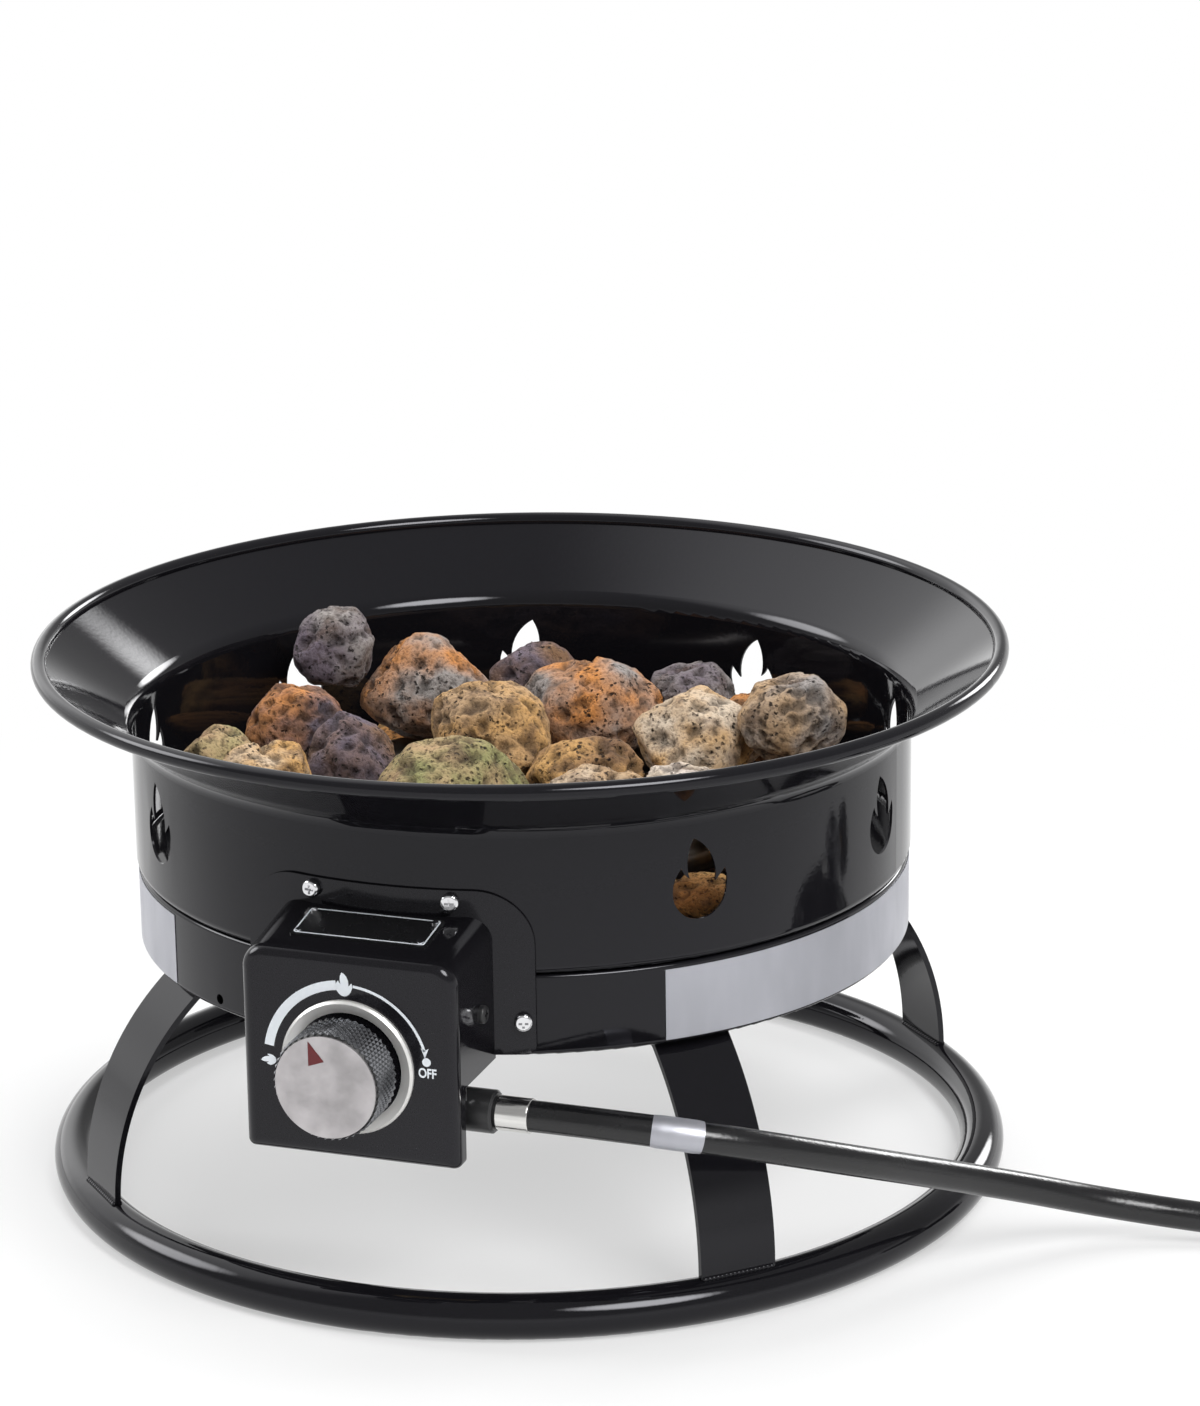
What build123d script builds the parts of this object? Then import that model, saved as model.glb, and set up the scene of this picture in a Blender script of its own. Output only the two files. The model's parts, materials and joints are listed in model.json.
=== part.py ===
from build123d import *

import math
import os
import random

import numpy as np
from scipy.spatial import ConvexHull

# Propane fire pit: a flared steel bowl of lava rock on a low pan, with four strap legs, a base
# ring, a control box with a push-and-turn valve, and a gas hose with its regulator.
# Millimetres, +Z up. The origin is on the bowl's axis, on the floor, and the box faces -Y.
# An azimuth is counted in degrees from the front, towards the right hand seen from the front.

# Heights, stacked from the floor
LEG_H = 125.0
PAN_H = 40.0
WALL_H = 72.0
FLARE_H = 36.0

# Bowl and pan
BOWL_D = 387.0
FLARE_OUT = 47.8
PAN_STEP = 1.2
SHEET = 1.2
BEAD_D = 8.0
FLARE_BEND = 9.0
FLOOR_BEND = 4.5
PAN_TOP_BEND = 1.8
PAN_BASE_BEND = 3.0
PAN_FLANGE_W = 24.0
PAN_BASE_HOLE_D = 90.0
PAN_WINDOW_W = 40.0
PAN_WINDOW_H = 26.0
PAN_VENT_D = 5.0
PAN_VENT_AZIMUTH = -29.5
PAN_VENT_RISE = 6.0

# Flame-shaped air cut-outs in the bowl's wall
FLAME_COUNT = 8
FLAME_FIRST = 45.25
FLAME_STEP = 38.5
FLAME_W = 28.0
FLAME_H = 40.0
FLAME_RISE = 40.5
# Its corners, each with a point of the arc that follows it, as shares of the width and the height
FLAME_ARCS = [
    ((-0.50, -0.15), (0.00, -0.50)),
    ((0.50, -0.15), (0.515, -0.04)),
    ((0.47, 0.08), (0.36, -0.01)),
    ((0.29, -0.06), (0.24, 0.23)),
    ((-0.11, 0.50), (-0.23, 0.25)),
    ((-0.19, 0.01), (-0.27, 0.06)),
    ((-0.34, 0.15), (-0.46, 0.02)),
]

# Fasteners
BOLT_D = 5.0
BOLT_HEAD_D = 9.0
BOLT_HEAD_H = 3.0
NUT_ACROSS = 8.0
NUT_H = 4.0
HOLE_CLEAR = 0.4
NUT_CLEAR = 0.1
PAN_BOLTS = 4
PAN_BOLT_IN = 14.3
SCREW_D = 4.0
SCREW_HEAD_D = 8.7
SCREW_HEAD_H = 3.0
SCREW_L = 5.0
CROSS_W = 1.2
CROSS_L = 4.6
CROSS_DEPTH = 1.4

# Clearances between pieces that don't move against each other, and of turning shafts
GAP = 0.3
SKIN_GAP = 0.05
RUNNING = 0.05

# Foil panels on the pan's wall, from one azimuth to another
FOIL_T = 0.3
FOIL_H = 35.0
FOIL_RIGHT = (40.0, 110.0)
FOIL_LEFT = (-108.0, -41.4)

# Burner
BURNER_D = 220.0
BURNER_TUBE_D = 19.0
BURNER_WALL = 1.5
BURNER_ROUND = 8.0
CROSS_TUBE_D = 16.0
BURNER_RISE = 16.0
PORT_COUNT = 28
PORT_D = 2.5
SPIGOT_D = 26.0
SPIGOT_BORE_D = 12.0
SPIGOT_DROP = 16.0
SPIGOT_HOLE_CLEAR = 1.0
COLLAR_D = 44.0
COLLAR_H = 4.0
GASKET_T = 1.5
LOCK_NUT_ACROSS = 40.0
LOCK_NUT_H = 8.0

# Mixer, jet and gas pipe, in the pan
MIXER_RISE = 18.0
MIXER_BODY_D = 34.0
MIXER_TUBE_D = 24.0
MIXER_BORE_D = 18.0
MIXER_L = 100.0
MIXER_FLOOR = 4.0
AIR_WINDOW_L = 15.0
AIR_WINDOW_H = 8.0
AIR_WINDOW_BACK = 14.0
JET_FLANGE_H = 4.0
JET_NOSE_D = 9.0
JET_NOSE_L = 10.0
JET_BORE_D = 2.0
PIPE_D = 8.0
PIPE_NUT_ACROSS = 14.0
PIPE_NUT_L = 10.0

# Control box
BOX_W = 106.0
BOX_REACH = 44.5
BOX_FACE_H = 100.0
BOX_FACE_RISE = 22.5
BOX_SLOPE = 8.7
BOX_INSIDE = 15.5
BOX_LIP = 11.0
BOX_TOP_R = 12.0
BOX_FRONT_R = 6.0
BOX_BASE_R = 3.5
FLANGE_SIDE = 18.5
FLANGE_RISE = 42.5
FLANGE_R = 27.0
FLANGE_FOOT_R = 4.0
FLANGE_FOOT_RISE = 2.0
FLANGE_SCREW_HIGH = (-19.0, 37.0)
FLANGE_SCREW_LOW = (12.5, -21.5)
FLANK_SCREW_BACK = 33.0
FLANK_SCREW_RISE = -11.5

# Blank name plate on the box's top
PLATE_W = 68.0
PLATE_D = 27.0
PLATE_T = 0.8
PLATE_R = 2.0
PLATE_BACK = 28.0
RIVET_D = 2.0
RIVET_HEAD_D = 3.2
RIVET_HEAD_H = 0.8
RIVET_INSET = 4.0

# Dial and valve
KNOB_DROP = 31.0
KNOB_D = 50.8
KNOB_L = 23.0
KNOB_STAND = 5.0
KNOB_WALL = 3.0
KNOB_EDGE = 1.2
KNOB_HUB_D = 14.0
CAP_T = 1.0
CAP_INSET = 0.8
POINTER_W = 8.0
POINTER_L = 11.0
POINTER_T = 0.3
POINTER_EDGE = 2.5
POINTER_TURN = 20.0
BEZEL_W = 6.0
BEZEL_CLEAR = 1.1
BEZEL_RIM_H = 2.8
BEZEL_SEAT_H = 1.0
FACE_HOLE_D = 16.0
PUSH = 3.0
STEM_D = 6.0
STEM_FLAT = 0.8
STEM_SHOULDER_D = 9.0
STEM_SHOULDER_H = 2.4
COLLAR_RING_D = 14.0
COLLAR_RING_H = 2.5
COLLAR_BACK = 3.0
NOSE_D = 14.0
NOSE_H = 4.0
BARREL_D = 26.0
BARREL_FRONT = 17.0
BARREL_L = 20.0
INLET_DROP_D = 17.0
ARM_D = 14.0
ARM_BACK = 26.0
INLET_IN_NUT = 6.0
BRACKET_T = 1.5
BRACKET_H = 34.0
EAR_H = 16.0
EAR_L = 26.0
SPRING_WIRE = 0.8
SPRING_TURNS = 3.5
SPRING_D = 9.2

# Stand, whose ring is as wide as the bowl's rim
RING_TUBE_D = 22.0
RING_WALL = 1.6
RING_FLAT = 0.5
LEG_AZIMUTHS = {
    "leg_front_right": 45.0,
    "leg_rear_right": 135.0,
    "leg_rear_left": -135.0,
    "leg_front_left": -45.0,
}
LEG_W = 39.0
LEG_T = 3.0
LEG_SHOULDER = 8.0
LEG_FOOT = 4.0
LEG_BEND_R = 8.0
LEG_TOP_SLOPE = 43.0
LEG_FOOT_SLOPE = 88.0
LEG_TAB = 36.0
LEG_BOLT_IN = 20.0
LEG_BOLT_SPAN = 22.0
WELD_GAP = 0.15

# Hose: its fitting, and the coil of the length that is put away
HOSE_D = 15.0
CORNER_SHARE = 0.45
HOSE_DROP = 25.0
HOSE_NUT_D = 20.5
HOSE_NUT_IN = 9.0
HOSE_NUT_L = 19.0
FERRULE_D = 16.6
FERRULE_GAP = 1.0
FERRULE_L = 16.0
COIL_X = 492.0
COIL_MEAN_D = 180.0
COIL_TURNS = 4.25
COIL_PITCH = 15.5
COIL_LAYER = 15.6
COIL_LIFT = 2.0
COIL_STEP = 0.02
COIL_SAMPLES = 1200
ROUTE_END_Y = -8.0
TIE_W = 20.0
TIE_T = 1.0
TIE_CLEAR = 1.4
TIE_CLEAR_Z = 0.5

# Regulator and tank coupling
REG_D = 52.0
REG_RIM_D = 62.0
REG_RIM_H = 3.0
REG_BODY_H = 34.0
REG_DOME_D = 44.0
REG_DOME_H = 12.0
REG_BOSS_D = 18.0
REG_BOSS_L = 10.0
REG_CLEAR = 3.0
REG_FOOT = 0.5
REG_FERRULE_D = 18.0
REG_FERRULE_L = 22.0
REG_SCREWS = 6
REG_SCREW_D = 3.0
REG_SCREW_HEAD_D = 5.0
REG_SCREW_HEAD_H = 2.0
VENT_D = 11.0
VENT_H = 6.0
NIPPLE_D = 14.0
NIPPLE_PLAY = 2.0
NIPPLE_FLANGE_D = 23.0
NIPPLE_FLANGE_H = 4.0
COUPLING_D = 42.0
COUPLING_BACK_H = 5.0
COUPLING_CHAMBER_D = 24.4
COUPLING_CHAMBER_H = 7.0
COUPLING_THREAD_D = 33.4
COUPLING_THREAD_L = 16.0
COUPLING_STAND = 10.0
COUPLING_GRIPS = 18
COUPLING_GRIP_D = 3.0

# Lava rock: where each upper rock lies and its three widths, and the lower bed's rings
ROCK_SEED = 7
ROCK_POINTS = 30
ROCK_LUMPS = 0.16
ROCK_CELL = 1.0
ROCK_SKIN = 0.2
ROCK_WALL_CLEAR = 3.0
BED_WIDTHS = (0.8, 0.95)
BED_RINGS = ((58.0, 6, 46.0), (154.0, 15, 54.0))
BED_FLATNESS = 0.45
HEAP = (
    (-138.0, -62.0, 60.0, 54.0, 50.0),
    (-122.0, 4.0, 58.0, 50.0, 52.0),
    (-96.0, -104.0, 74.0, 56.0, 44.0),
    (-78.0, -34.0, 56.0, 50.0, 56.0),
    (-76.0, 70.0, 82.0, 62.0, 58.0),
    (-20.0, 4.0, 78.0, 64.0, 62.0),
    (-14.0, -70.0, 86.0, 70.0, 62.0),
    (6.0, 84.0, 84.0, 66.0, 60.0),
    (42.0, -20.0, 66.0, 58.0, 54.0),
    (78.0, 40.0, 84.0, 66.0, 60.0),
    (70.0, -86.0, 72.0, 60.0, 54.0),
    (128.0, -34.0, 70.0, 54.0, 46.0),
    (132.0, 36.0, 60.0, 52.0, 52.0),
    (92.0, 104.0, 56.0, 48.0, 48.0),
    (-18.0, -138.0, 54.0, 50.0, 44.0),
    (36.0, -142.0, 52.0, 48.0, 44.0),
    (-130.0, 72.0, 54.0, 50.0, 46.0),
    (-40.0, 132.0, 56.0, 50.0, 48.0),
    (44.0, 138.0, 54.0, 48.0, 46.0),
    (118.0, -98.0, 54.0, 48.0, 42.0),
)

# Places that follow from the sizes above
PAN_Z = LEG_H
SEAM_Z = PAN_Z + PAN_H
FLOOR_Z = SEAM_Z + SHEET
FLARE_Z = SEAM_Z + WALL_H
RIM_Z = FLARE_Z + FLARE_H
BOWL_R = BOWL_D / 2
RIM_R = BOWL_R + FLARE_OUT
PAN_R = BOWL_R - PAN_STEP
PAN_BOLT_R = PAN_R - PAN_BOLT_IN
BEAD_CENTRE = (RIM_R - BEAD_D / 2, RIM_Z - BEAD_D / 2)
BOX_FRONT = BOWL_R + BOX_REACH
BOX_BACK = BOWL_R - BOX_INSIDE
FLANGE_W = BOX_W + 2 * FLANGE_SIDE
BOX_FACE_TOP = SEAM_Z + BOX_FACE_RISE
BOX_FACE_BASE = BOX_FACE_TOP - BOX_FACE_H
KNOB_Z = SEAM_Z - KNOB_DROP
HOSE_Z = KNOB_Z - HOSE_DROP
MIXER_Z = PAN_Z + MIXER_RISE
BEZEL_HOLE_D = KNOB_D + 2 * BEZEL_CLEAR
BEZEL_D = BEZEL_HOLE_D + 2 * BEZEL_W
HOSE_BACK = BOX_FRONT - ARM_BACK
HOSE_NUT_FROM = BOX_W / 2 - HOSE_NUT_IN
FERRULE_FROM = HOSE_NUT_FROM + HOSE_NUT_L + FERRULE_GAP
INLET_REACH = HOSE_NUT_FROM + INLET_IN_NUT
RING_R = RIM_R - RING_TUBE_D / 2
RING_Z = RING_TUBE_D / 2 - RING_FLAT
RING_TOP = RING_Z + RING_TUBE_D / 2
COIL_Z = HOSE_D / 2 + COIL_LIFT
COIL_OUT_R = COIL_MEAN_D / 2 + COIL_PITCH * COIL_TURNS / 4
COIL_Y = ROUTE_END_Y + COIL_OUT_R
COIL_TOP_Z = COIL_Z + COIL_LAYER
REG_BOSS_REACH = REG_D / 2 + REG_BOSS_L
REG_OFF_COIL = COIL_OUT_R + HOSE_D / 2 + REG_CLEAR + REG_RIM_D / 2
NIPPLE_L = COUPLING_STAND + COUPLING_BACK_H + NIPPLE_PLAY
COIL_TAIL = math.sqrt(REG_OFF_COIL**2 - COIL_OUT_R**2) - REG_FERRULE_L - REG_BOSS_REACH

# The hose's route, from the ferrule to the start of its coil
HOSE_ROUTE = [
    (FERRULE_FROM + FERRULE_L, -HOSE_BACK, HOSE_Z),
    (126.0, -HOSE_BACK, HOSE_Z),
    (174.0, -195.0, 100.5),
    (213.0, -150.0, 79.0),
    (241.0, -101.0, 56.5),
    (271.0, -60.0, 37.0),
    (306.0, -27.0, 19.5),
    (360.0, -12.0, 11.0),
    (420.0, ROUTE_END_Y, COIL_Z),
    (COIL_X - HOSE_D, ROUTE_END_Y, COIL_Z),
]

BASE = (Align.CENTER, Align.CENTER, Align.MIN)
TOP = (Align.CENTER, Align.CENTER, Align.MAX)


def around(radius, azimuth, z):
    """A point at a radius and an azimuth."""
    angle = math.radians(azimuth)
    return Vector(radius * math.sin(angle), -radius * math.cos(angle), z)


def outward_plane(radius, azimuth, z):
    """A plane that faces away from the bowl's axis, with its second direction up."""
    angle = math.radians(azimuth)
    across = Vector(math.cos(angle), math.sin(angle), 0)
    outward = Vector(math.sin(angle), -math.cos(angle), 0)
    return Plane(origin=around(radius, azimuth, z), x_dir=across, z_dir=outward)


def section_plane(azimuth):
    """An upright plane through the bowl's axis, for a profile given as radius and height."""
    angle = math.radians(azimuth)
    outward = Vector(math.sin(angle), -math.cos(angle), 0)
    return Plane(origin=(0, 0, 0), x_dir=outward, z_dir=outward.cross(Vector(0, 0, 1)))


def lathe(plane, *outline):
    """A turned piece: (radius, height) corners, revolved about the plane's own axis."""
    with BuildPart() as piece:
        with BuildSketch(Plane.XZ):
            with BuildLine():
                Polyline(*outline, close=True)
            make_face()
        revolve(axis=Axis.Z)
    return piece.part.moved(plane.location)


def keep(name, piece):
    """Name a finished piece and write its file."""
    piece.label = name
    export_step(piece, f"parts/{name}.step")


os.makedirs("parts", exist_ok=True)

# Planes that several pieces share
dial_plane = Plane(origin=(0, -BOX_FRONT, KNOB_Z), x_dir=(1, 0, 0), z_dir=(0, -1, 0))
back_plane = Plane(origin=(0, -BOX_FRONT, KNOB_Z), x_dir=(1, 0, 0), z_dir=(0, 1, 0))
hose_plane = Plane(origin=(0, -HOSE_BACK, HOSE_Z), x_dir=(0, 1, 0), z_dir=(1, 0, 0))
pipe_plane = Plane(origin=(0, 0, MIXER_Z), x_dir=(1, 0, 0), z_dir=(0, -1, 0))

# Screws that hold the box's flange: two on the bowl's wall and two on the pan's, each given as
# how far it stands out from the box's flank and above the seam
flange_spots = []
for out, rise in (FLANGE_SCREW_HIGH, FLANGE_SCREW_LOW):
    turn = math.degrees(math.asin((BOX_W / 2 + out) / BOWL_R))
    for sign in (-1, 1):
        flange_spots.append((sign * turn, SEAM_Z + rise))
flank_spot = (-BOX_FRONT + FLANK_SCREW_BACK, SEAM_Z + FLANK_SCREW_RISE)

# A leg's upper face, as radius and height: the tab, the corner under the pan, the bow and the foot
foot = Vector(RING_R + LEG_T / 2, RING_TOP + WELD_GAP)
top_slope = math.radians(LEG_TOP_SLOPE)
foot_slope = math.radians(LEG_FOOT_SLOPE)
bow_height = PAN_Z - foot.Y - LEG_SHOULDER * math.sin(top_slope) - LEG_FOOT * math.sin(foot_slope)
leg_bow_r = bow_height / (math.cos(top_slope) - math.cos(foot_slope))
bow_run = leg_bow_r * math.tan((foot_slope - top_slope) / 2)
bow = foot + Vector(-math.cos(foot_slope), math.sin(foot_slope)) * (LEG_FOOT + bow_run)
shoulder = bow + Vector(-math.cos(top_slope), math.sin(top_slope)) * (LEG_SHOULDER + bow_run)
leg_corners = [(shoulder.X - LEG_TAB, PAN_Z), (shoulder.X, PAN_Z), (bow.X, bow.Y), (foot.X, foot.Y)]
leg_bolt_spots = []
for azimuth in LEG_AZIMUTHS.values():
    tab = outward_plane(shoulder.X - LEG_BOLT_IN, azimuth, PAN_Z)
    for sign in (-1, 1):
        leg_bolt_spots.append(tab.from_local_coords(Vector(sign * LEG_BOLT_SPAN / 2, 0, 0)))


def flame_outline():
    """A flame with one tall tongue and two short ones, about the sketch's origin."""
    for place, (corner, through) in enumerate(FLAME_ARCS):
        after = FLAME_ARCS[(place + 1) % len(FLAME_ARCS)][0]
        ThreePointArc(*[(x * FLAME_W, y * FLAME_H) for x, y in (corner, through, after)])


# Fire bowl
spigot_hole_r = SPIGOT_D / 2 + SPIGOT_HOLE_CLEAR
with BuildPart() as fire_bowl:
    with BuildSketch(Plane.XZ):
        with BuildLine():
            FilletPolyline(
                (spigot_hole_r, SEAM_Z),
                (BOWL_R, SEAM_Z),
                (BOWL_R, FLARE_Z),
                BEAD_CENTRE,
                radius=[FLOOR_BEND, FLARE_BEND],
            )
            offset(amount=SHEET, side=Side.LEFT)
        make_face()
        with Locations(BEAD_CENTRE):
            Circle(BEAD_D / 2)
    revolve(axis=Axis.Z)
    for place in range(FLAME_COUNT):
        flame_azimuth = FLAME_FIRST + FLAME_STEP * place
        with BuildSketch(outward_plane(BOWL_R - BEAD_D, flame_azimuth, SEAM_Z + FLAME_RISE)):
            with BuildLine():
                flame_outline()
            make_face()
        extrude(amount=2 * BEAD_D, mode=Mode.SUBTRACT)
    with Locations((0, 0, SEAM_Z)):
        with PolarLocations(PAN_BOLT_R, PAN_BOLTS):
            Cylinder((BOLT_D + HOLE_CLEAR) / 2, 3 * SHEET, mode=Mode.SUBTRACT)
    for azimuth, z in flange_spots:
        with Locations(outward_plane(BOWL_R, azimuth, z)):
            Cylinder((SCREW_D + HOLE_CLEAR) / 2, BEAD_D, mode=Mode.SUBTRACT)
keep("fire_bowl", fire_bowl.part)

# Lower pan, with a window for the gas line, holes for the legs' bolts and one vent
with BuildPart() as lower_pan:
    with BuildSketch(Plane.XZ):
        with BuildLine():
            FilletPolyline(
                (PAN_R - PAN_FLANGE_W, SEAM_Z),
                (PAN_R, SEAM_Z),
                (PAN_R, PAN_Z),
                (PAN_BASE_HOLE_D / 2, PAN_Z),
                radius=[PAN_TOP_BEND, PAN_BASE_BEND],
            )
            offset(amount=SHEET, side=Side.RIGHT)
        make_face()
    revolve(axis=Axis.Z)
    with Locations((0, -PAN_R, MIXER_Z)):
        Box(PAN_WINDOW_W, 2 * BEAD_D, PAN_WINDOW_H, mode=Mode.SUBTRACT)
    with Locations((0, 0, SEAM_Z)):
        with PolarLocations(PAN_BOLT_R, PAN_BOLTS):
            Cylinder((BOLT_D + HOLE_CLEAR) / 2, 3 * SHEET, mode=Mode.SUBTRACT)
    for azimuth, z in flange_spots:
        with Locations(outward_plane(PAN_R, azimuth, z)):
            Cylinder((SCREW_D + HOLE_CLEAR) / 2, BEAD_D, mode=Mode.SUBTRACT)
    with Locations(outward_plane(PAN_R, PAN_VENT_AZIMUTH, PAN_Z + PAN_VENT_RISE)):
        Cylinder(PAN_VENT_D / 2, BEAD_D, mode=Mode.SUBTRACT)
    for spot in leg_bolt_spots:
        with Locations(spot):
            Cylinder((BOLT_D + HOLE_CLEAR) / 2, 3 * SHEET, mode=Mode.SUBTRACT)
keep("lower_pan", lower_pan.part)

# Bolts and nuts that hold the bowl to the pan's flange
with BuildPart() as pan_bolts:
    with Locations((0, 0, FLOOR_Z)):
        with PolarLocations(PAN_BOLT_R, PAN_BOLTS):
            Cylinder(BOLT_HEAD_D / 2, BOLT_HEAD_H, align=BASE)
            Cylinder(BOLT_D / 2, 2 * SHEET + NUT_H + SHEET, align=TOP)
keep("pan_bolts", pan_bolts.part)

with BuildPart() as pan_nuts:
    with BuildSketch(Plane.XY.offset(SEAM_Z - SHEET - NUT_H)):
        with PolarLocations(PAN_BOLT_R, PAN_BOLTS):
            RegularPolygon(NUT_ACROSS / 2, 6, major_radius=False)
            Circle((BOLT_D + NUT_CLEAR) / 2, mode=Mode.SUBTRACT)
    extrude(amount=NUT_H)
keep("pan_nuts", pan_nuts.part)

# Foil panels on the pan's wall
foil_middle = PAN_Z + PAN_H / 2
for name, (start, end) in {"foil_label_right": FOIL_RIGHT, "foil_label_left": FOIL_LEFT}.items():
    with BuildPart() as foil:
        with BuildSketch(section_plane(start)):
            with Locations((PAN_R + SKIN_GAP + FOIL_T / 2, foil_middle)):
                Rectangle(FOIL_T, FOIL_H)
        revolve(axis=Axis.Z, revolution_arc=end - start)
    keep(name, foil.part)

# Burner: a hollow ring and cross tube with ports on top, and a spigot through the bowl's floor
burner_z = FLOOR_Z + BURNER_RISE
spigot_z = SEAM_Z - SPIGOT_DROP


def burner_form(inset, spigot_d):
    """The burner's outer form, or with an inset the gas's way through it."""
    width = BURNER_TUBE_D - 2 * inset
    with BuildPart() as form:
        with BuildSketch(Plane.XZ):
            with Locations((BURNER_D / 2, burner_z)):
                RectangleRounded(width, width, BURNER_ROUND - inset)
        revolve(axis=Axis.Z)
        with Locations((0, 0, burner_z)):
            Cylinder(CROSS_TUBE_D / 2 - inset, BURNER_D, rotation=(0, 90, 0))
        with Locations((0, 0, spigot_z)):
            Cylinder(spigot_d / 2, burner_z - spigot_z, align=BASE)
    return form.part


burner_outside = burner_form(0, SPIGOT_D)
burner_inside = burner_form(BURNER_WALL, SPIGOT_BORE_D)
with BuildPart() as burner_ring:
    add(burner_outside)
    with Locations((0, 0, FLOOR_Z + GASKET_T)):
        Cylinder(COLLAR_D / 2, COLLAR_H, align=BASE)
    add(burner_inside, mode=Mode.SUBTRACT)
    with Locations((0, 0, burner_z)):
        with PolarLocations(BURNER_D / 2, PORT_COUNT, start_angle=180 / PORT_COUNT):
            Cylinder(PORT_D / 2, BURNER_TUBE_D, align=BASE, mode=Mode.SUBTRACT)
keep("burner_ring", burner_ring.part)

with BuildPart() as burner_gasket:
    with BuildSketch(Plane.XY.offset(FLOOR_Z)):
        Circle(COLLAR_D / 2)
        Circle(spigot_hole_r, mode=Mode.SUBTRACT)
    extrude(amount=GASKET_T)
keep("burner_gasket", burner_gasket.part)

with BuildPart() as burner_lock_nut:
    with BuildSketch(Plane.XY.offset(SEAM_Z - LOCK_NUT_H)):
        RegularPolygon(LOCK_NUT_ACROSS / 2, 6, major_radius=False)
        Circle((SPIGOT_D + NUT_CLEAR) / 2, mode=Mode.SUBTRACT)
    extrude(amount=LOCK_NUT_H)
keep("burner_lock_nut", burner_lock_nut.part)

# Mixer: an elbow under the spigot and a mixing tube with air windows, closed by the jet
mixer_top = SEAM_Z - LOCK_NUT_H
mixer_base = MIXER_Z - MIXER_TUBE_D / 2 - MIXER_FLOOR + BURNER_WALL
air_window_y = -MIXER_L + AIR_WINDOW_BACK
with BuildPart() as air_mixer:
    with Locations((0, 0, mixer_base)):
        Cylinder(MIXER_BODY_D / 2, mixer_top - mixer_base, align=BASE)
    with Locations(pipe_plane):
        Cylinder(MIXER_TUBE_D / 2, MIXER_L, align=BASE)
        Cylinder(MIXER_BORE_D / 2, MIXER_L, align=BASE, mode=Mode.SUBTRACT)
    with Locations((0, 0, MIXER_Z)):
        Cylinder(MIXER_BORE_D / 2, mixer_top - MIXER_Z, align=BASE, mode=Mode.SUBTRACT)
    with Locations((0, 0, spigot_z)):
        Cylinder((SPIGOT_D + NUT_CLEAR) / 2, mixer_top - spigot_z, align=BASE, mode=Mode.SUBTRACT)
    with Locations((0, air_window_y, MIXER_Z)):
        Box(2 * MIXER_TUBE_D, AIR_WINDOW_L, AIR_WINDOW_H, mode=Mode.SUBTRACT)
keep("air_mixer", air_mixer.part)

jet_end = MIXER_L + JET_FLANGE_H + PIPE_NUT_L
with BuildPart() as gas_jet:
    with Locations(pipe_plane.offset(MIXER_L)):
        Cylinder(MIXER_TUBE_D / 2, JET_FLANGE_H, align=BASE)
        Cylinder(JET_NOSE_D / 2, JET_NOSE_L, align=TOP)
    with BuildSketch(pipe_plane.offset(MIXER_L + JET_FLANGE_H)):
        RegularPolygon(PIPE_NUT_ACROSS / 2, 6, major_radius=False)
    extrude(amount=PIPE_NUT_L)
    with Locations(pipe_plane.offset(MIXER_L - JET_NOSE_L)):
        Cylinder(JET_BORE_D / 2, jet_end, align=BASE, mode=Mode.SUBTRACT)
keep("gas_jet", gas_jet.part)

# Gas pipe from the jet to the valve's outlet, with a nut at each end
outlet_end = BOX_FRONT - BARREL_FRONT - BARREL_L - ARM_D
with BuildPart() as gas_pipe:
    with BuildSketch(pipe_plane.offset(jet_end)):
        Circle(PIPE_D / 2)
        Circle(PIPE_D / 2 - SHEET, mode=Mode.SUBTRACT)
    extrude(amount=outlet_end - jet_end)
keep("gas_pipe", gas_pipe.part)

with BuildPart() as pipe_nuts:
    for start in (jet_end, outlet_end - PIPE_NUT_L):
        with BuildSketch(pipe_plane.offset(start)):
            RegularPolygon(PIPE_NUT_ACROSS / 2, 6, major_radius=False)
            Circle((PIPE_D + NUT_CLEAR) / 2, mode=Mode.SUBTRACT)
        extrude(amount=PIPE_NUT_L)
keep("pipe_nuts", pipe_nuts.part)

# Control box: a pressed cover whose top slopes up to the bowl, with an arched flange
slope = math.radians(BOX_SLOPE)


def box_top(back, inset):
    """Height of the box's sloping top, or of its inner side, at a distance behind the face."""
    return BOX_FACE_TOP + back * math.tan(slope) - inset / math.cos(slope)


def box_form(inset):
    """The cover's outer form, or with an inset the space inside its sheet."""
    half = BOX_W / 2 - inset
    front = -BOX_FRONT + inset
    base = BOX_FACE_BASE + inset
    depth = BOX_FRONT - BOX_BACK
    with BuildPart() as form:
        with BuildSketch(Plane.YZ.offset(-half)):
            with BuildLine():
                Polyline(
                    (front, base),
                    (front, box_top(inset, inset)),
                    (-BOX_BACK, box_top(depth, inset)),
                    (-BOX_BACK, base),
                    close=True,
                )
            make_face()
        extrude(amount=2 * half)
        sides = form.faces().filter_by(Axis.X)
        top_edges = [face.edges().sort_by(Axis.Z)[-1] for face in sides]
        fillet(top_edges, BOX_TOP_R - inset)
        base_edges = form.edges().filter_by(Axis.Y).group_by(Axis.Z)[0]
        fillet(base_edges, BOX_BASE_R - inset)
        fillet(form.faces().sort_by(Axis.Y)[0].edges(), BOX_FRONT_R - inset)
    return form.part


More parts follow.
